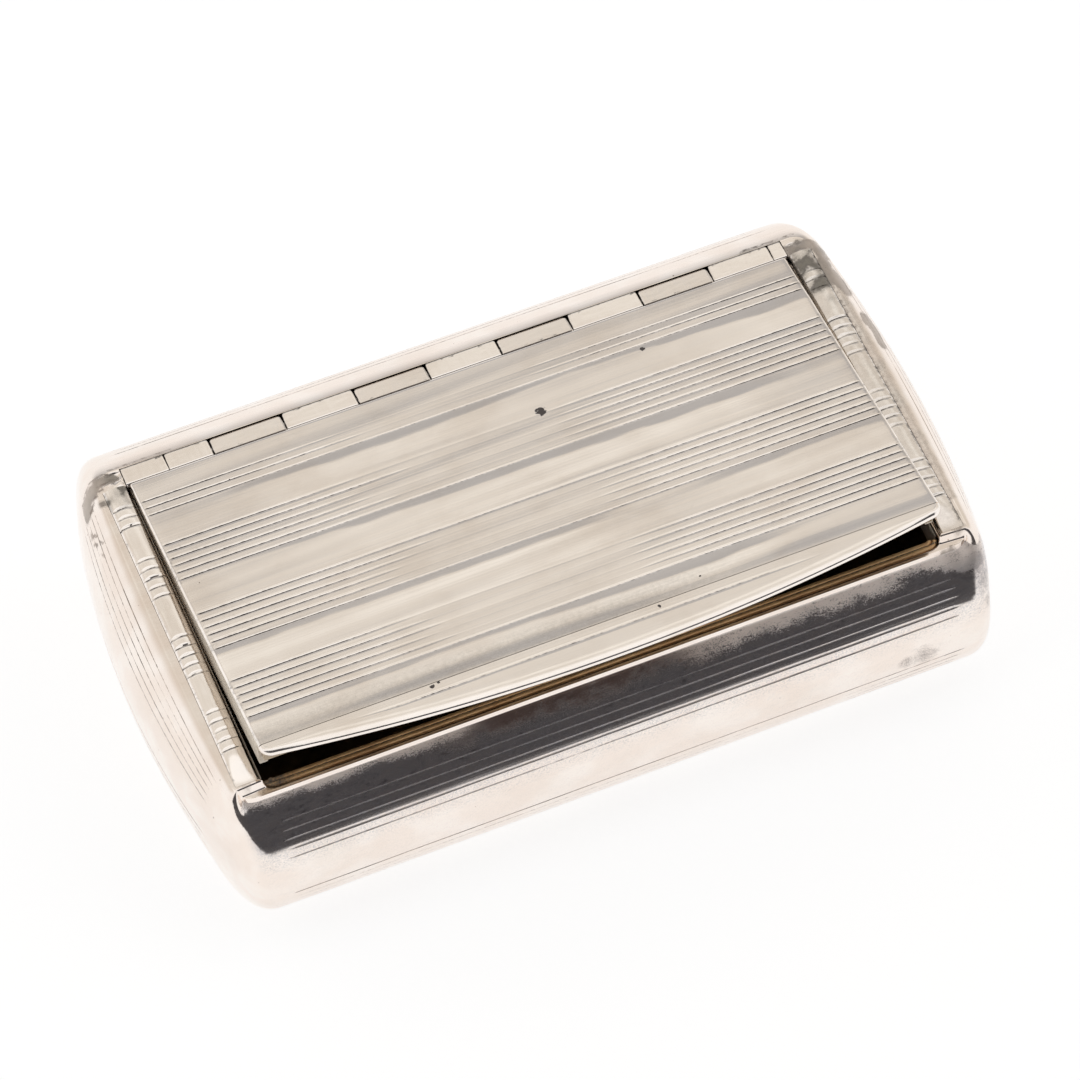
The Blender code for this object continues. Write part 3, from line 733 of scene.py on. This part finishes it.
def thumb_profile():
    """The moulding's rolled front from its edge inwards: (inset, drop below the top)."""
    steps = [(14, 0.015 * MM), (28, 0.035 * MM), (46, 0.04 * MM)]
    steps += [(mix(66, 90, (k / 13) ** 0.8), 0.08 * MM) for k in range(1, 14)]
    section = []
    inset = height = 0.0
    for degrees, step in steps:
        inset += step
        height += step / sin(radians(degrees)) * cos(radians(degrees))
        section.append((inset, height))
    return [(inset, height - rise) for inset, rise in section]


def thumb_top_point(x, y, span):
    """A point of the moulding's top, across its long line, with its grime: y is where its front edge lies."""
    line = min(max(THUMB_LINE - AXIS_Y, mix(y, SEAM_Y, 0.35)), mix(y, SEAM_Y, 0.75))
    width = min(0.11 * MM, (SEAM_Y - y) * 0.1)
    if span <= 1:
        here = mix(y, line - width, span)
    elif span <= 2:
        here = line + width * (2 * span - 3)
    else:
        here = mix(line + width, SEAM_Y, span - 2)
    cut = valley(span - 1.5, 1.0) if 1 < span < 2 else 0.0
    cut *= smooth((24 * MM - abs(x + 2 * MM)) / (9 * MM)) * (0.7 + 0.5 * drift(x / MM * 0.15, 5.0, 2.0))
    return (x, here, AXIS_DEPTH - LID_TOP_SINK - 0.035 * MM * cut - side_drop(x)), min(1.0, 0.62 * cut)


def make_thumb(material):
    rolled = thumb_profile()
    inner = thumb_row(rolled[-1][0])
    edge = [(0.12 * MM, LID_UNDER), (0.03 * MM, LID_UNDER + 0.05 * MM), (0.0, LID_UNDER + 0.12 * MM)]
    edge += [(inset, AXIS_DEPTH - LID_TOP_SINK - drop) for inset, drop in rolled]
    rows = [[(x, SEAM_Y, LID_UNDER) for x, _ in inner]]
    rows += [[(x, y, level) for x, y in thumb_row(inset)] for inset, level in edge]
    values = [0.0] * (len(rows) * len(inner))
    for span in (0.3, 0.6, 0.85, 1.0, 1.25, 1.5, 1.75, 2.0, 2.2, 2.5, 2.8, 3.0):
        row, grime = zip(*(thumb_top_point(x, y, span) for x, y in inner))
        rows.append(row)
        values += grime
    placed = [[lid_place(*point) for point in row] for row in rows]
    piece = add_piece("lid_thumb_edge", skin(placed, around=True, open_rows=True), material, "lid", 50.0)
    soil(piece, values)
    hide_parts("lid_front_moulding")


# Hinge

def knuckle_section(place, length, start, plug, on_lid):
    """A knuckle's round, filed flat at the top and rounded at its ends, as points across and up."""
    from_end = min(place, length - place)
    filed = 0.05 * MM if on_lid else 0.0
    shrink, rounding = (0.02 * MM, 0.08 * MM) if plug else (0.05 * MM, 0.30 * MM)
    shrink *= 1 - smooth(from_end / (0.09 * MM))
    tuck = rounding * (1 - sqrt(1 - (1 - min(1.0, from_end / (0.32 * MM))) ** 2))
    round_front, round_back = (0.03 * MM, 0.06 * MM) if on_lid else (0.08 * MM, 0.03 * MM)
    front, back = knuckle_reach(on_lid)
    top = AXIS_DEPTH - 0.015 * MM - shrink
    near, far = -front + shrink, back - shrink - tuck
    section = [(near, top - 2 * round_front), (near + 0.3 * round_front, top - 0.5 * round_front)]
    for k in range(13):
        level = top + 0.004 * MM * drift(place / MM, k, start / MM) - filed * (1 - k / 12)
        section.append((mix(near + round_front, far - round_back, k / 12), level))
    section += [(far - 0.3 * round_back, top - 0.5 * round_back), (far, top - 2 * round_back)]
    return section + arc((0, 0), KNUCKLE_RADIUS + 0.05 * MM - shrink, asin(0.36), -pi - asin(0.36), 18)


def knuckle_reach(on_lid):
    """How far a knuckle's flat reaches to the front and to the back: its soldered side has no gap."""
    free = sqrt((KNUCKLE_RADIUS + 0.05 * MM) ** 2 - AXIS_DEPTH**2)
    soldered = -LID_BACK - 0.015 * MM
    return (soldered, free) if on_lid else (free, soldered)


def knuckle_dirt_and_shade(x, across, up, from_end, on_lid):
    """Dirt at a knuckle's ends and in broken dashes along its soldered edge, and painted shade over its round
    below the filed top, where it sits in the channel.
    """
    # Painted shade: below the filed top the whole round is painted dark.
    if up < AXIS_DEPTH - 0.3 * MM:
        return 0.8
    front, back = knuckle_reach(on_lid)
    edge = across + front if on_lid else back - across
    dashes = smooth(drift(x / MM * 1.3, on_lid * 5.0, 2.0) * 2.2 + 0.3)
    seam = dashes * smooth(1 - abs(edge - 0.12 * MM) / (0.14 * MM))
    if not on_lid:
        seam = max(seam, 0.7 * smooth(1 - edge / (0.09 * MM)))
    return min(1.0, max(0.75 * seam, 0.8 * smooth(1 - from_end / (0.10 * MM))))


def make_knuckle(node, name, body, material):
    """A knuckle filed level with the top, or an end plug that nearly closes its seam."""
    on_lid = body == "lid"
    plug = "plug" in node
    low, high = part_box(node)
    start, end = low[0], high[0]
    if plug:
        left, right = (PLUG_REACH, PLUG_SEAM) if start < 0 else (PLUG_SEAM, PLUG_REACH)
        start, end = start - left, end + right
    length = end - start
    spots = [spot * MM for spot in (0.0, 0.03, 0.09, 0.18, 0.32, 0.5)]
    places = spots + [mix(spots[-1], length - spots[-1], k / 16) for k in range(1, 16)]
    places += [length - spot for spot in reversed(spots)]
    lean = mix(0.02, 0.05, abs(drift(start / MM, 1.0, 3.0)))
    rows, values = [], []
    for place in places:
        row = []
        for across, up in knuckle_section(place, length, start, plug, on_lid):
            x = start + place + lean * across * (1 - 2 * place / length)
            values.append(knuckle_dirt_and_shade(x, across, up, min(place, length - place), on_lid))
            row.append(lid_place(x, across, up) if on_lid else (x, AXIS_Y + across, AXIS_Z + up))
        rows.append(row)
    piece = add_piece(name, skin(rows), material, body, 50.0)
    soil(piece, values)
    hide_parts(node)


def make_hinge(material):
    for number in range(1, 6):
        make_knuckle(f"body_knuckle_{number}", f"box_hinge_tube_{number}", "box", material)
    for number in range(1, 5):
        make_knuckle(f"lid_knuckle_{number}", f"lid_hinge_tube_{number}", "lid", material)
    make_knuckle("left_pin_plug", "left_hinge_plug", "box", material)
    make_knuckle("right_pin_plug", "right_hinge_plug", "box", material)


# Strips on the ends: each side's dirt at its outer edge, its film with where that starts, and its haze
STRIP_WEAR = {-1: (0.26, 0.75, 12.5 * MM, 0.0), 1: (0.45, 0.5, 9.0 * MM, 0.24)}


def make_strip(side, name, node, material):
    front = FRONT_Y + STRIP_SETBACK
    back = AXIS_Y + LID_BACK
    low = HEIGHT - STRIP_DEPTH
    lines = []
    for number, line in enumerate(flat(group_places(STRIP_LINES, STRIP_PITCH))):
        lines.append((back - line, 0.85 + 0.5 * drift(number * 3.1, side * 2.0, 1.5)))
    outer_dirt, film_strength, film_start, haze = STRIP_WEAR[side]
    rows, values, film = [], [], []
    for k in range(STRIP_STEPS + 1):
        y = mix(back, front, k / STRIP_STEPS)
        nose = smooth((y - front) / STRIP_NOSE)
        row = [(STRIP_WIDTH, low), (0.0, low)]
        values += [0.0, 0.0]
        film += [0.0, 0.0]
        for n in range(21):
            angle = pi - pi * n / 20
            across = STRIP_WIDTH / 2 * (1 + cos(angle))
            arched = y - 0.16 * MM * sin(angle)
            cut = dirt = 0.0
            for line, strength in lines:
                cut += strength * valley(arched - line, 0.36 * MM)
                dirt += strength * valley(arched - line + 0.06 * MM, 0.22 * MM)
            sink = 0.09 * MM * cut * (0.25 + 0.75 * sin(angle))
            wobble = 0.012 * MM * drift(y / MM * 0.7, across / MM, side * 3.0)
            rounded = 0.10 * MM * (1 - smooth(across / (0.16 * MM)))
            rise = (STRIP_CROWN * sin(angle) - sink + wobble) * nose - rounded
            row.append((across, HEIGHT - 0.03 * MM + rise))
            outer = outer_dirt * smooth((across - STRIP_WIDTH + 0.45 * MM) / (0.4 * MM))
            patches = 0.55 + 1.2 * drift(across / MM * 0.9, y / MM * 0.7, side * 4.0)
            behind = film_strength * smooth((y - film_start) / (3 * MM)) * patches
            values.append(min(1.0, max(dirt * (0.45 + 0.4 * sin(angle)), outer)))
            film.append(min(0.8, max(behind, 0.0) + haze))
        rows.append([(side * (HALF_MOUTH + SEAT_GAP + x), y, z) for x, z in row])
    piece = add_piece(name, skin(rows), material, "box", 50.0)
    soil(piece, values)
    soil(piece, film, "film")
    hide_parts(node)


# Ledge, bezels and flanges inside the mouth

def bevelled(left, right, low, high):
    """A rectangle across x and z with its four edges taken off."""
    cut = 0.05 * MM
    return [
        (left, low + cut), (left + cut, low), (right - cut, low), (right, low + cut),
        (right, high - cut), (right - cut, high), (left + cut, high), (left, high - cut),
    ]


def bar_rows(section, start, end, place):
    """A section repeated from start to end, each point put where the given function says."""
    steps = 60
    return [[place(x, mix(start, end, k / steps), z) for x, z in section] for k in range(steps + 1)]


def make_side(side, word, material):
    """One side's thin bezel and the flange under the lid that comes down inside it."""
    low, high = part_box(f"{word}_bezel")
    inner = HALF_MOUTH - SEAT_GAP - SIDE_BEZEL
    left, right = sorted((side * (HALF_MOUTH - SEAT_GAP), side * inner))
    rows = bar_rows(bevelled(left, right, low[2], high[2]), low[1], high[1], lambda x, y, z: (x, y, z))
    bezel = add_piece(f"{word}_mouth_bezel", skin(rows), material, "box")
    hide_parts(f"{word}_bezel")
    left, right = sorted((side * (inner - RUNNING_GAP), side * FLANGE_INNER))
    section = bevelled(left, right, FLANGE_FOOT, LID_UNDER - 0.01 * MM)
    rows = bar_rows(section, FLANGE_FRONT, FLANGE_BACK, lid_place)
    flange = add_piece(f"{word}_lid_flange", skin(rows), material, "lid")
    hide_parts(f"lid_{word}_flange")


def make_ledge(material):
    """The front bezel as two rounded gilt strips with a seam, turning into both corners of the mouth."""
    inner = HALF_MOUTH - MOUTH_CORNER
    bend = pi / 2 - 0.4
    path = []
    for k in range(-8, 129):
        turn = 1.5 * pi + bend * (min(k, 0) + max(k - 120, 0)) / 8
        path.append((mix(-inner, inner, min(max(k, 0), 120) / 120), cos(turn), sin(turn)))
    top = RIM_TOP - 0.15 * MM
    low = top - 2.6 * MM
    strip = 0.5 * MM
    section = [(SEAT_GAP, low)]
    for number, level in ((0, top), (1, top - 0.12 * MM)):
        for k in range(9):
            angle = pi - pi * k / 8
            inset = SEAT_GAP + strip * (number + (1 + 0.92 * cos(angle)) / 2)
            section.append((inset, level - 0.14 * MM * (1 - sin(angle) ** 0.7)))
    section.append((SEAT_GAP + 2 * strip, low))
    centre_y = MOUTH_FRONT + MOUTH_CORNER
    reaches = [(MOUTH_CORNER - inset, level) for inset, level in section]
    rows = []
    for x, out_x, out_y in path:
        rows.append([(x + out_x * reach, centre_y + out_y * reach, level) for reach, level in reaches])

    def grime(place):
        seam = valley(place.y - MOUTH_FRONT - SEAT_GAP - strip, 0.22 * MM)
        left = smooth((-29.0 * MM - place.x) / (2.5 * MM)) * 0.55
        spots = smooth(drift(place.x / MM * 1.1, place.y / MM * 1.5, 2.0) * 2.6 - 0.5)
        return min(1.0, max(seam, left + 0.3 * spots))

    piece = add_piece("front_ledge", skin(rows), material, "box", 50.0)
    soil(piece, grime)
    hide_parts("front_bezel")


# Materials, with their places in millimetres

class Net:
    """The nodes of a material or of the world, added and joined in short calls."""

    def __init__(self, owner):
        owner.use_nodes = True
        self.owner = owner
        self.tree = owner.node_tree

    def add(self, kind, values=None, **settings):
        """Adds a node, gives its inputs numbers or links from other nodes, and returns its outputs."""
        node = self.tree.nodes.new(kind)
        for name, value in settings.items():
            setattr(node, name, value)
        for name, value in (values or {}).items():
            if isinstance(value, bpy.types.NodeSocket):
                self.tree.links.new(value, node.inputs[name])
            else:
                node.inputs[name].default_value = value
        return node.outputs

    def places(self, scale=(1.0, 1.0, 1.0)):
        """Object coordinates in millimetres, stretched by an (x, y, z) scale."""
        coords = self.add("ShaderNodeTexCoord")["Object"]
        scale = [share / MM for share in scale]
        return self.add("ShaderNodeMapping", {"Vector": coords, "Scale": scale})["Vector"]

    def axes(self):
        parts = self.add("ShaderNodeSeparateXYZ", {"Vector": self.places()})
        return [parts[axis] for axis in "XYZ"]

    def cloud(self, scale, detail=4.0, rough=0.5, warp=0.0):
        values = {"Scale": 1.0, "Detail": detail, "Roughness": rough, "Distortion": warp}
        return self.add("ShaderNodeTexNoise", {"Vector": self.places(scale), **values})["Fac"]

    def stored(self, name):
        return self.add("ShaderNodeAttribute", attribute_name=name)["Fac"]

    def span(self, value, low, high, start=0.0, end=1.0):
        """Maps a value from one range onto another, softly at both ends."""
        values = {"Value": value, "From Min": low, "From Max": high, "To Min": start, "To Max": end}
        return self.add("ShaderNodeMapRange", values, interpolation_type="SMOOTHSTEP")["Result"]

    def spots(self, spots, edge, soft=0.1):
        """1 inside ragged spots, each given by its place and its radius, and 0 outside them."""
        found = 0.0
        for centre, radius in spots:
            ends = {0: self.places(), 1: centre}
            distance = self.add("ShaderNodeVectorMath", ends, operation="DISTANCE")["Value"]
            ragged = self.span(edge, 0.3, 0.7, 0.35 * radius, -0.35 * radius)
            spot = self.span(self.plus(distance, ragged), (1 + soft) * radius, (1 - soft) * radius)
            found = self.most(found, spot)
        return found

    def math(self, operation, one, *others):
        """Joins values by one operation, from left to right."""
        for other in others:
            one = self.add("ShaderNodeMath", {0: one, 1: other}, operation=operation)["Value"]
        return one

    def plus(self, *values):
        return self.math("ADD", *values)

    def times(self, *values):
        return self.math("MULTIPLY", *values)

    def most(self, *values):
        return self.math("MAXIMUM", *values)

    def blend(self, share, one, two):
        one, two = ((*value, 1.0) if isinstance(value, tuple) else value for value in (one, two))
        return self.add("ShaderNodeMix", {"Factor": share, 6: one, 7: two}, data_type="RGBA")[2]

    def bump(self, height, distance, before=None):
        values = {"Strength": 1.0, "Distance": distance * MM, "Height": height}
        if before:
            values["Normal"] = before
        return self.add("ShaderNodeBump", values)["Normal"]

    def finish(self, colour, metallic, rough, normal):
        inputs = self.tree.nodes["Principled BSDF"].inputs
        values = {"Base Color": colour, "Metallic": metallic, "Roughness": rough, "Normal": normal}
        for name, value in values.items():
            self.tree.links.new(value, inputs[name])
        return self.owner


def material_net(name):
    return Net(bpy.data.materials.new(name))


CLEAN_SILVER = (0.965, 0.897, 0.838)
WARM_SILVER = (0.85, 0.765, 0.69)
ROSY_SILVER = (0.86, 0.73, 0.64)
RUBBED_SILVER = (0.96, 0.85, 0.78)
DULL_SILVER = (0.86, 0.78, 0.67)
DULL_SHADE = (0.66, 0.57, 0.46)
GRIME_AND_SHADE = (0.035, 0.026, 0.021)
FILM = (0.17, 0.15, 0.115)
PORE = (0.22, 0.17, 0.14)
PIT = (0.09, 0.075, 0.07)
SMOKE = (0.52, 0.49, 0.50)
HAZE = (0.52, 0.53, 0.57)
UMBER = (0.13, 0.075, 0.06)
SPOT = (0.13, 0.10, 0.09)
STAIN = (0.27, 0.235, 0.22)
BRIGHT_GILT = (1.0, 0.69, 0.36)
WORN_GILT = (0.74, 0.45, 0.22)
GILT_DIRT = (0.17, 0.14, 0.115)
INSIDE_GILT = (0.36, 0.26, 0.14)
BROWNED_GILT = (0.17, 0.115, 0.065)
SNUFF = (0.09, 0.065, 0.045)
PAINTED_LIGHT_GILT = (0.68, 0.55, 0.40)

# Pits on the lid at rest, in millimetres: the middle and the radius of each
LID_PITS = (
    ((4.65, 8.43, 18.4), 0.46),
    ((16.2, 11.5, 18.0), 0.24),
    ((5.3, -17.5, 22.1), 0.16),
    ((10.0, -15.8, 21.9), 0.12),
    ((-16.7, -17.4, 22.1), 0.22),
    ((-16.0, -17.2, 22.1), 0.15),
    ((-24.5, 13.0, 17.7), 0.10),
)

# Stains on the wall, in millimetres: the middle and the radius of each
WALL_STAINS = (
    ((35.6, -20.6, 15.3), 1.3),
    ((34.0, -19.8, 15.8), 1.0),
    ((36.6, -21.6, 13.4), 1.1),
    ((36.4, -22.6, 11.6), 0.7),
    ((29.1, -24.4, 9.0), 1.0),
    ((27.3, -24.4, 8.8), 0.6),
)


def silver_net(name, streak, specks):
    """Worn silver: warm clouds, dirt in its lines, dark pores, fine streaks along one way, and painted shade
    where the stored grime holds it.
    """
    net = material_net(name)
    clouds = net.cloud((0.11, 0.16, 0.16), 5.0, 0.6)
    streaks = net.cloud(streak, 3.0, 0.6)
    ragged = net.cloud((2.2, 2.2, 2.2), 5.0, 0.65)
    grain = net.cloud((9.0, 9.0, 9.0), 2.0, 0.5)
    cells = net.add("ShaderNodeTexVoronoi", {"Vector": net.places((1.5, 1.5, 1.5)), "Scale": 1.0})
    size = net.span(cells["Color"], 1.0 - 0.35 * specks, 1.0, 0.0, 0.16)
    pores = net.math("LESS_THAN", cells["Distance"], size)
    # The stored grime mixes real dirt with painted shade on the lid and the knuckles.
    dirt = net.span(net.plus(net.stored("grime"), net.span(ragged, 0.3, 0.7, -0.22, 0.18)), 0.18, 0.75)
    film = net.times(net.stored("film"), net.span(ragged, 0.3, 0.7, 0.8, 1.2))
    outline = net.times(net.span(film, 0.48, 0.62), net.span(film, 0.85, 0.7), 0.45)
    film = net.span(film, 0.0, 0.95, 0.0, 0.9)
    colour = net.blend(net.span(clouds, 0.42, 0.72, 0.0, 0.65), CLEAN_SILVER, WARM_SILVER)
    colour = net.blend(pores, colour, PORE)
    colour = net.blend(film, colour, FILM)
    colour = net.blend(net.most(dirt, outline), colour, GRIME_AND_SHADE)
    metallic = net.most(net.span(film, 0.0, 1.0, 1.0, 0.35), dirt)
    rough = net.plus(
        net.span(streaks, 0.25, 0.75, 0.10, 0.20),
        net.span(dirt, 0.0, 1.0, 0.0, 0.32),
        net.span(film, 0.0, 1.0, 0.0, 0.25),
    )
    return net, colour, metallic, rough, net.bump(grain, 0.0015, net.bump(streaks, 0.0035))


def lid_silver():
    """The lid's silver, with a few corroded pits in it."""
    net, colour, metallic, rough, normal = silver_net("lid_silver", (0.03, 5.0, 5.0), 0.12)
    pits = net.spots(LID_PITS, net.cloud((3.0, 3.0, 3.0), 3.0, 0.6))
    colour = net.blend(pits, colour, PIT)
    metallic = net.times(metallic, net.span(pits, 0.0, 1.0, 1.0, 0.2))
    rough = net.plus(rough, net.times(pits, 0.4))
    return net.finish(colour, metallic, rough, net.bump(net.span(pits, 0.0, 1.0, 1.0, 0.0), 0.06, normal))


def lid_edge_silver():
    """The lid's side faces: dull, rubbed and warm with old dirt."""
    net = material_net("lid_edge_silver")
    clouds = net.cloud((0.5, 0.35, 3.0), 5.0, 0.6)
    lines = net.cloud((1.0, 0.2, 9.0), 3.0, 0.6)
    colour = net.blend(net.span(clouds, 0.35, 0.7), DULL_SILVER, DULL_SHADE)
    rough = net.span(lines, 0.2, 0.8, 0.45, 0.65)
    metallic = net.span(clouds, 0.3, 0.7, 0.25, 0.1)
    return net.finish(colour, metallic, rough, net.bump(lines, 0.006))


def strip_silver():
    net, *values = silver_net("strip_silver", (3.0, 0.3, 3.0), 0.3)
    return net.finish(*values)


def wall_silver():
    """The wall's silver: smoke and haze on its front, a pale rubbed edge, brown tarnish and stains."""
    net, colour, metallic, rough, normal = silver_net("wall_silver", (0.04, 4.0, 4.0), 0.9)
    along, across, up = net.axes()
    edge = net.cloud((0.9, 2.6, 1.6), 6.0, 0.72, 0.4)
    fine = net.cloud((6.0, 10.0, 8.5), 5.0, 0.8)
    slow = net.cloud((0.22, 0.3, 0.3), 2.0, 0.5)
    ragged = net.plus(
        net.span(edge, 0.25, 0.75, -0.2, 0.2),
        net.span(slow, 0.35, 0.65, -0.2, 0.2),
        net.span(fine, 0.2, 0.8, -0.45, 0.45),
    )
    ragged_up = net.plus(up, ragged)
    less_ragged_up = net.plus(up, net.times(ragged, 0.5))
    below_rim = net.times(
        net.span(across, -18.0, -18.3), net.span(up, 16.05, 15.97), net.span(along, -36.4, -35.2)
    )
    pale_right = net.times(net.span(ragged_up, 15.2, 15.85), net.span(along, 3.0, 11.0))
    pale_left = net.times(net.span(less_ragged_up, 15.6, 16.05), net.span(along, -12.0, -16.0))
    pale = net.times(net.most(pale_right, pale_left), below_rim)
    middle = net.times(net.span(along, -22.0, -10.0), net.span(along, 14.0, 6.0))
    umber = net.times(net.span(ragged_up, 14.9, 15.8), middle, below_rim)
    haze = net.times(net.span(fine, 0.42, 0.62), net.span(edge, 0.3, 0.6, 0.35, 1.0))
    haze = net.times(haze, below_rim, net.span(up, 10.5, 12.5, 0.22, 1.0))
    spots = net.span(net.plus(edge, net.span(fine, 0.2, 0.8, -0.10, 0.10)), 0.56, 0.68)
    spots = net.times(spots, below_rim, net.span(up, 13.2, 15.0))
    smoke = net.times(below_rim, net.span(up, 12.4, 13.8), net.span(edge, 0.35, 0.65, 0.35, 0.75))
    stain = net.times(net.spots(WALL_STAINS, edge, 0.8), net.span(fine, 0.35, 0.62, 0.1, 1.0))
    coats = (
        (net.span(slow, 0.3, 0.6, 0.15, 0.5), 1.0, ROSY_SILVER),
        (smoke, 1.0, SMOKE),
        (haze, 0.6, HAZE),
        (umber, 0.9, UMBER),
        (pale, 0.92, RUBBED_SILVER),
        (spots, 0.7, SPOT),
        (stain, 0.75, STAIN),
    )
    for share, strength, coat in coats:
        colour = net.blend(net.times(share, strength), colour, coat)
    metallic = net.times(
        net.most(net.math("SUBTRACT", metallic, pale), 0.0),
        net.span(umber, 0.0, 1.0, 1.0, 0.35),
        net.span(haze, 0.0, 1.0, 1.0, 0.86),
    )
    rough = net.plus(rough, net.times(stain, 0.2), net.times(pale, 0.35), -0.03)
    return net.finish(colour, metallic, rough, normal)


def gilt_material():
    """Worn gilding: deep yellow brown, blotched, with dirt in its seam."""
    net = material_net("worn_gilt")
    clouds = net.cloud((0.5, 1.2, 1.2), 5.0, 0.65)
    lines = net.cloud((0.15, 9.0, 9.0), 3.0, 0.6)
    ragged = net.cloud((2.6, 2.6, 2.6), 5.0, 0.7)
    dirt = net.span(net.plus(net.stored("grime"), net.span(ragged, 0.3, 0.7, -0.2, 0.25)), 0.15, 0.8)
    colour = net.blend(net.span(clouds, 0.3, 0.7), BRIGHT_GILT, WORN_GILT)
    colour = net.blend(dirt, colour, GILT_DIRT)
    metallic = net.span(dirt, 0.0, 1.0, 0.55, 0.3)
    rough = net.plus(net.span(lines, 0.2, 0.8, 0.34, 0.5), net.times(dirt, 0.2))
    return net.finish(colour, metallic, rough, net.bump(lines, 0.008))


def inside_gilt():
    """The gilding inside, browned by snuff, with painted light at the left end, where light reaches in under
    the lid.
    """
    net = material_net("browned_gilt")
    clouds = net.cloud((0.14, 0.2, 0.2), 5.0, 0.65)
    grain = net.cloud((3.0, 3.0, 3.0), 4.0, 0.6)
    # Painted light: towards the left end the gilding is painted paler and made less metallic.
    painted_light_left = net.span(net.axes()[0], -20.0, -31.0)
    colour = net.blend(net.span(clouds, 0.35, 0.65), INSIDE_GILT, BROWNED_GILT)
    colour = net.blend(net.span(grain, 0.58, 0.72), colour, SNUFF)
    colour = net.blend(net.times(painted_light_left, 0.8), colour, PAINTED_LIGHT_GILT)
    rough = net.span(grain, 0.3, 0.7, 0.34, 0.52)
    metallic = net.times(net.span(grain, 0.5, 0.75, 0.85, 0.5), net.span(painted_light_left, 0.0, 1.0, 1.0, 0.2))
    return net.finish(colour, metallic, rough, net.bump(grain, 0.01))


def base_metal():
    """The base plate: plain worn silver below, gilt like the inside above."""
    net, colour, metallic, rough, normal = silver_net("base_silver", (0.05, 5.0, 5.0), 0.4)
    clouds = net.cloud((0.2, 0.2, 0.2), 5.0, 0.65)
    gilding = net.blend(net.span(clouds, 0.35, 0.65), INSIDE_GILT, BROWNED_GILT)
    above = net.span(net.axes()[2], 0.5, 0.6)
    return net.finish(net.blend(above, colour, gilding), metallic, net.most(rough, above), normal)


def dress_nodes(silver, dull, inside):
    """Gives the carried-over CAD nodes their finishes."""
    finishes = {"base_plate": base_metal(), "hinge_pin": silver, "front_bezel": silver}
    for name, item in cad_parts.items():
        edge = "left" in name or "right" in name
        finish = finishes.get(name, dull if edge else inside)
        for slot in item.material_slots:
            slot.material = finish


# Stage

def make_floor():
    builder = bmesh.new()
    half = 3.0
    corners = [(-half, -half, 0), (half, -half, 0), (half, half, 0), (-half, half, 0)]
    builder.faces.new([builder.verts.new(corner) for corner in corners])
    material = bpy.data.materials.new("floor_paper")
    material.use_nodes = True
    shader = material.node_tree.nodes["Principled BSDF"]
    shader.inputs["Base Color"].default_value = (0.35, 0.35, 0.35, 1)
    shader.inputs["Roughness"].default_value = 1.0
    shader.inputs["Specular IOR Level"].default_value = 0.0
    shader.inputs["Emission Color"].default_value = (1, 1, 1, 1)
    shader.inputs["Emission Strength"].default_value = 0.80
    add_piece("floor", builder, material, None)


WHITE = (1.0, 1.0, 1.0)
WARM_CEILING = (1.05, 1.04, 1.02)
ROOM = (0.74, 0.70, 0.64)
LAMP = (0.94, 0.92, 0.87)
SHADE = (0.46, 0.455, 0.455)
LEFT_WALL = (0.76, 0.71, 0.65)
DIM_FRONT = (0.075, 0.072, 0.076)


def make_world():
    """Soft studio light: pale surroundings, a bright ceiling and the dim side of the room in front."""
    world = bpy.data.worlds.new("studio")
    bpy.context.scene.world = world
    net = Net(world)
    net.tree.nodes.clear()
    coords = net.add("ShaderNodeTexCoord")["Generated"]
    parts = net.add("ShaderNodeSeparateXYZ", {"Vector": coords})
    along, across, up = (parts[axis] for axis in "XYZ")
    middle = net.times(net.span(along, -0.42, -0.22), net.span(along, 0.62, 0.48))
    lamp = net.times(net.span(up, 0.69, 0.74), net.span(up, 0.83, 0.79), middle)
    dim = net.times(net.span(up, 0.17, 0.205), net.span(across, -0.10, -0.17), net.span(along, 0.62, 0.50))
    colour = net.blend(net.span(up, 0.93, 0.86), WARM_CEILING, ROOM)
    colour = net.blend(lamp, colour, LAMP)
    colour = net.blend(net.times(net.span(up, 0.645, 0.625), middle), colour, SHADE)
    colour = net.blend(net.span(up, 0.45, -0.05), colour, WHITE)
    left_side = net.blend(net.span(up, 0.80, 0.35), LEFT_WALL, WHITE)
    colour = net.blend(net.span(along, -0.30, -0.48), colour, left_side)
    colour = net.blend(net.span(across, 0.05, 0.40), WHITE, colour)
    colour = net.blend(dim, colour, DIM_FRONT)
    light = net.add("ShaderNodeBackground", {"Color": colour})["Background"]
    plain = net.add("ShaderNodeBackground", {"Color": (*WHITE, 1.0)})["Background"]
    seen = net.add("ShaderNodeLightPath")["Is Camera Ray"]
    shader = net.add("ShaderNodeMixShader", {"Fac": seen, 1: light, 2: plain})["Shader"]
    net.add("ShaderNodeOutputWorld", {"Surface": shader})


def make_camera():
    """The camera at the photo's angle, fitted to the box's straight edges."""
    data = bpy.data.cameras.new("camera")
    data.sensor_width = 36.0
    data.lens = 182.7
    data.clip_start = 0.01
    camera = bpy.data.objects.new("camera", data)
    bpy.context.scene.collection.objects.link(camera)
    right = Vector((0.92176, -0.38775, -0.00331))
    up = Vector((0.32680, 0.77220, 0.54489))
    back = Vector((-0.20873, -0.50334, 0.83850))
    turn = Matrix((right, up, back)).transposed().to_4x4()
    camera.matrix_world = Matrix.Translation((-0.105246, -0.256151, 0.437420)) @ turn
    bpy.context.scene.camera = camera


make_camera()
on_lid = lid_silver()
on_wall = wall_silver()
on_strips = strip_silver()
gilt = gilt_material()
inside = inside_gilt()
dull = lid_edge_silver()
dress_nodes(on_lid, dull, inside)
make_wall(on_wall, inside)
make_lid(on_lid, dull, inside)
make_thumb(on_lid)
make_hinge(on_strips)
make_strip(-1, "left_strip", "left_top_strip", on_strips)
make_strip(1, "right_strip", "right_top_strip", on_strips)
make_ledge(gilt)
make_side(-1, "left", dull)
make_side(1, "right", dull)
make_floor()
make_world()

bpy.context.scene.view_settings.view_transform = "Standard"
bpy.context.scene.view_settings.look = "None"
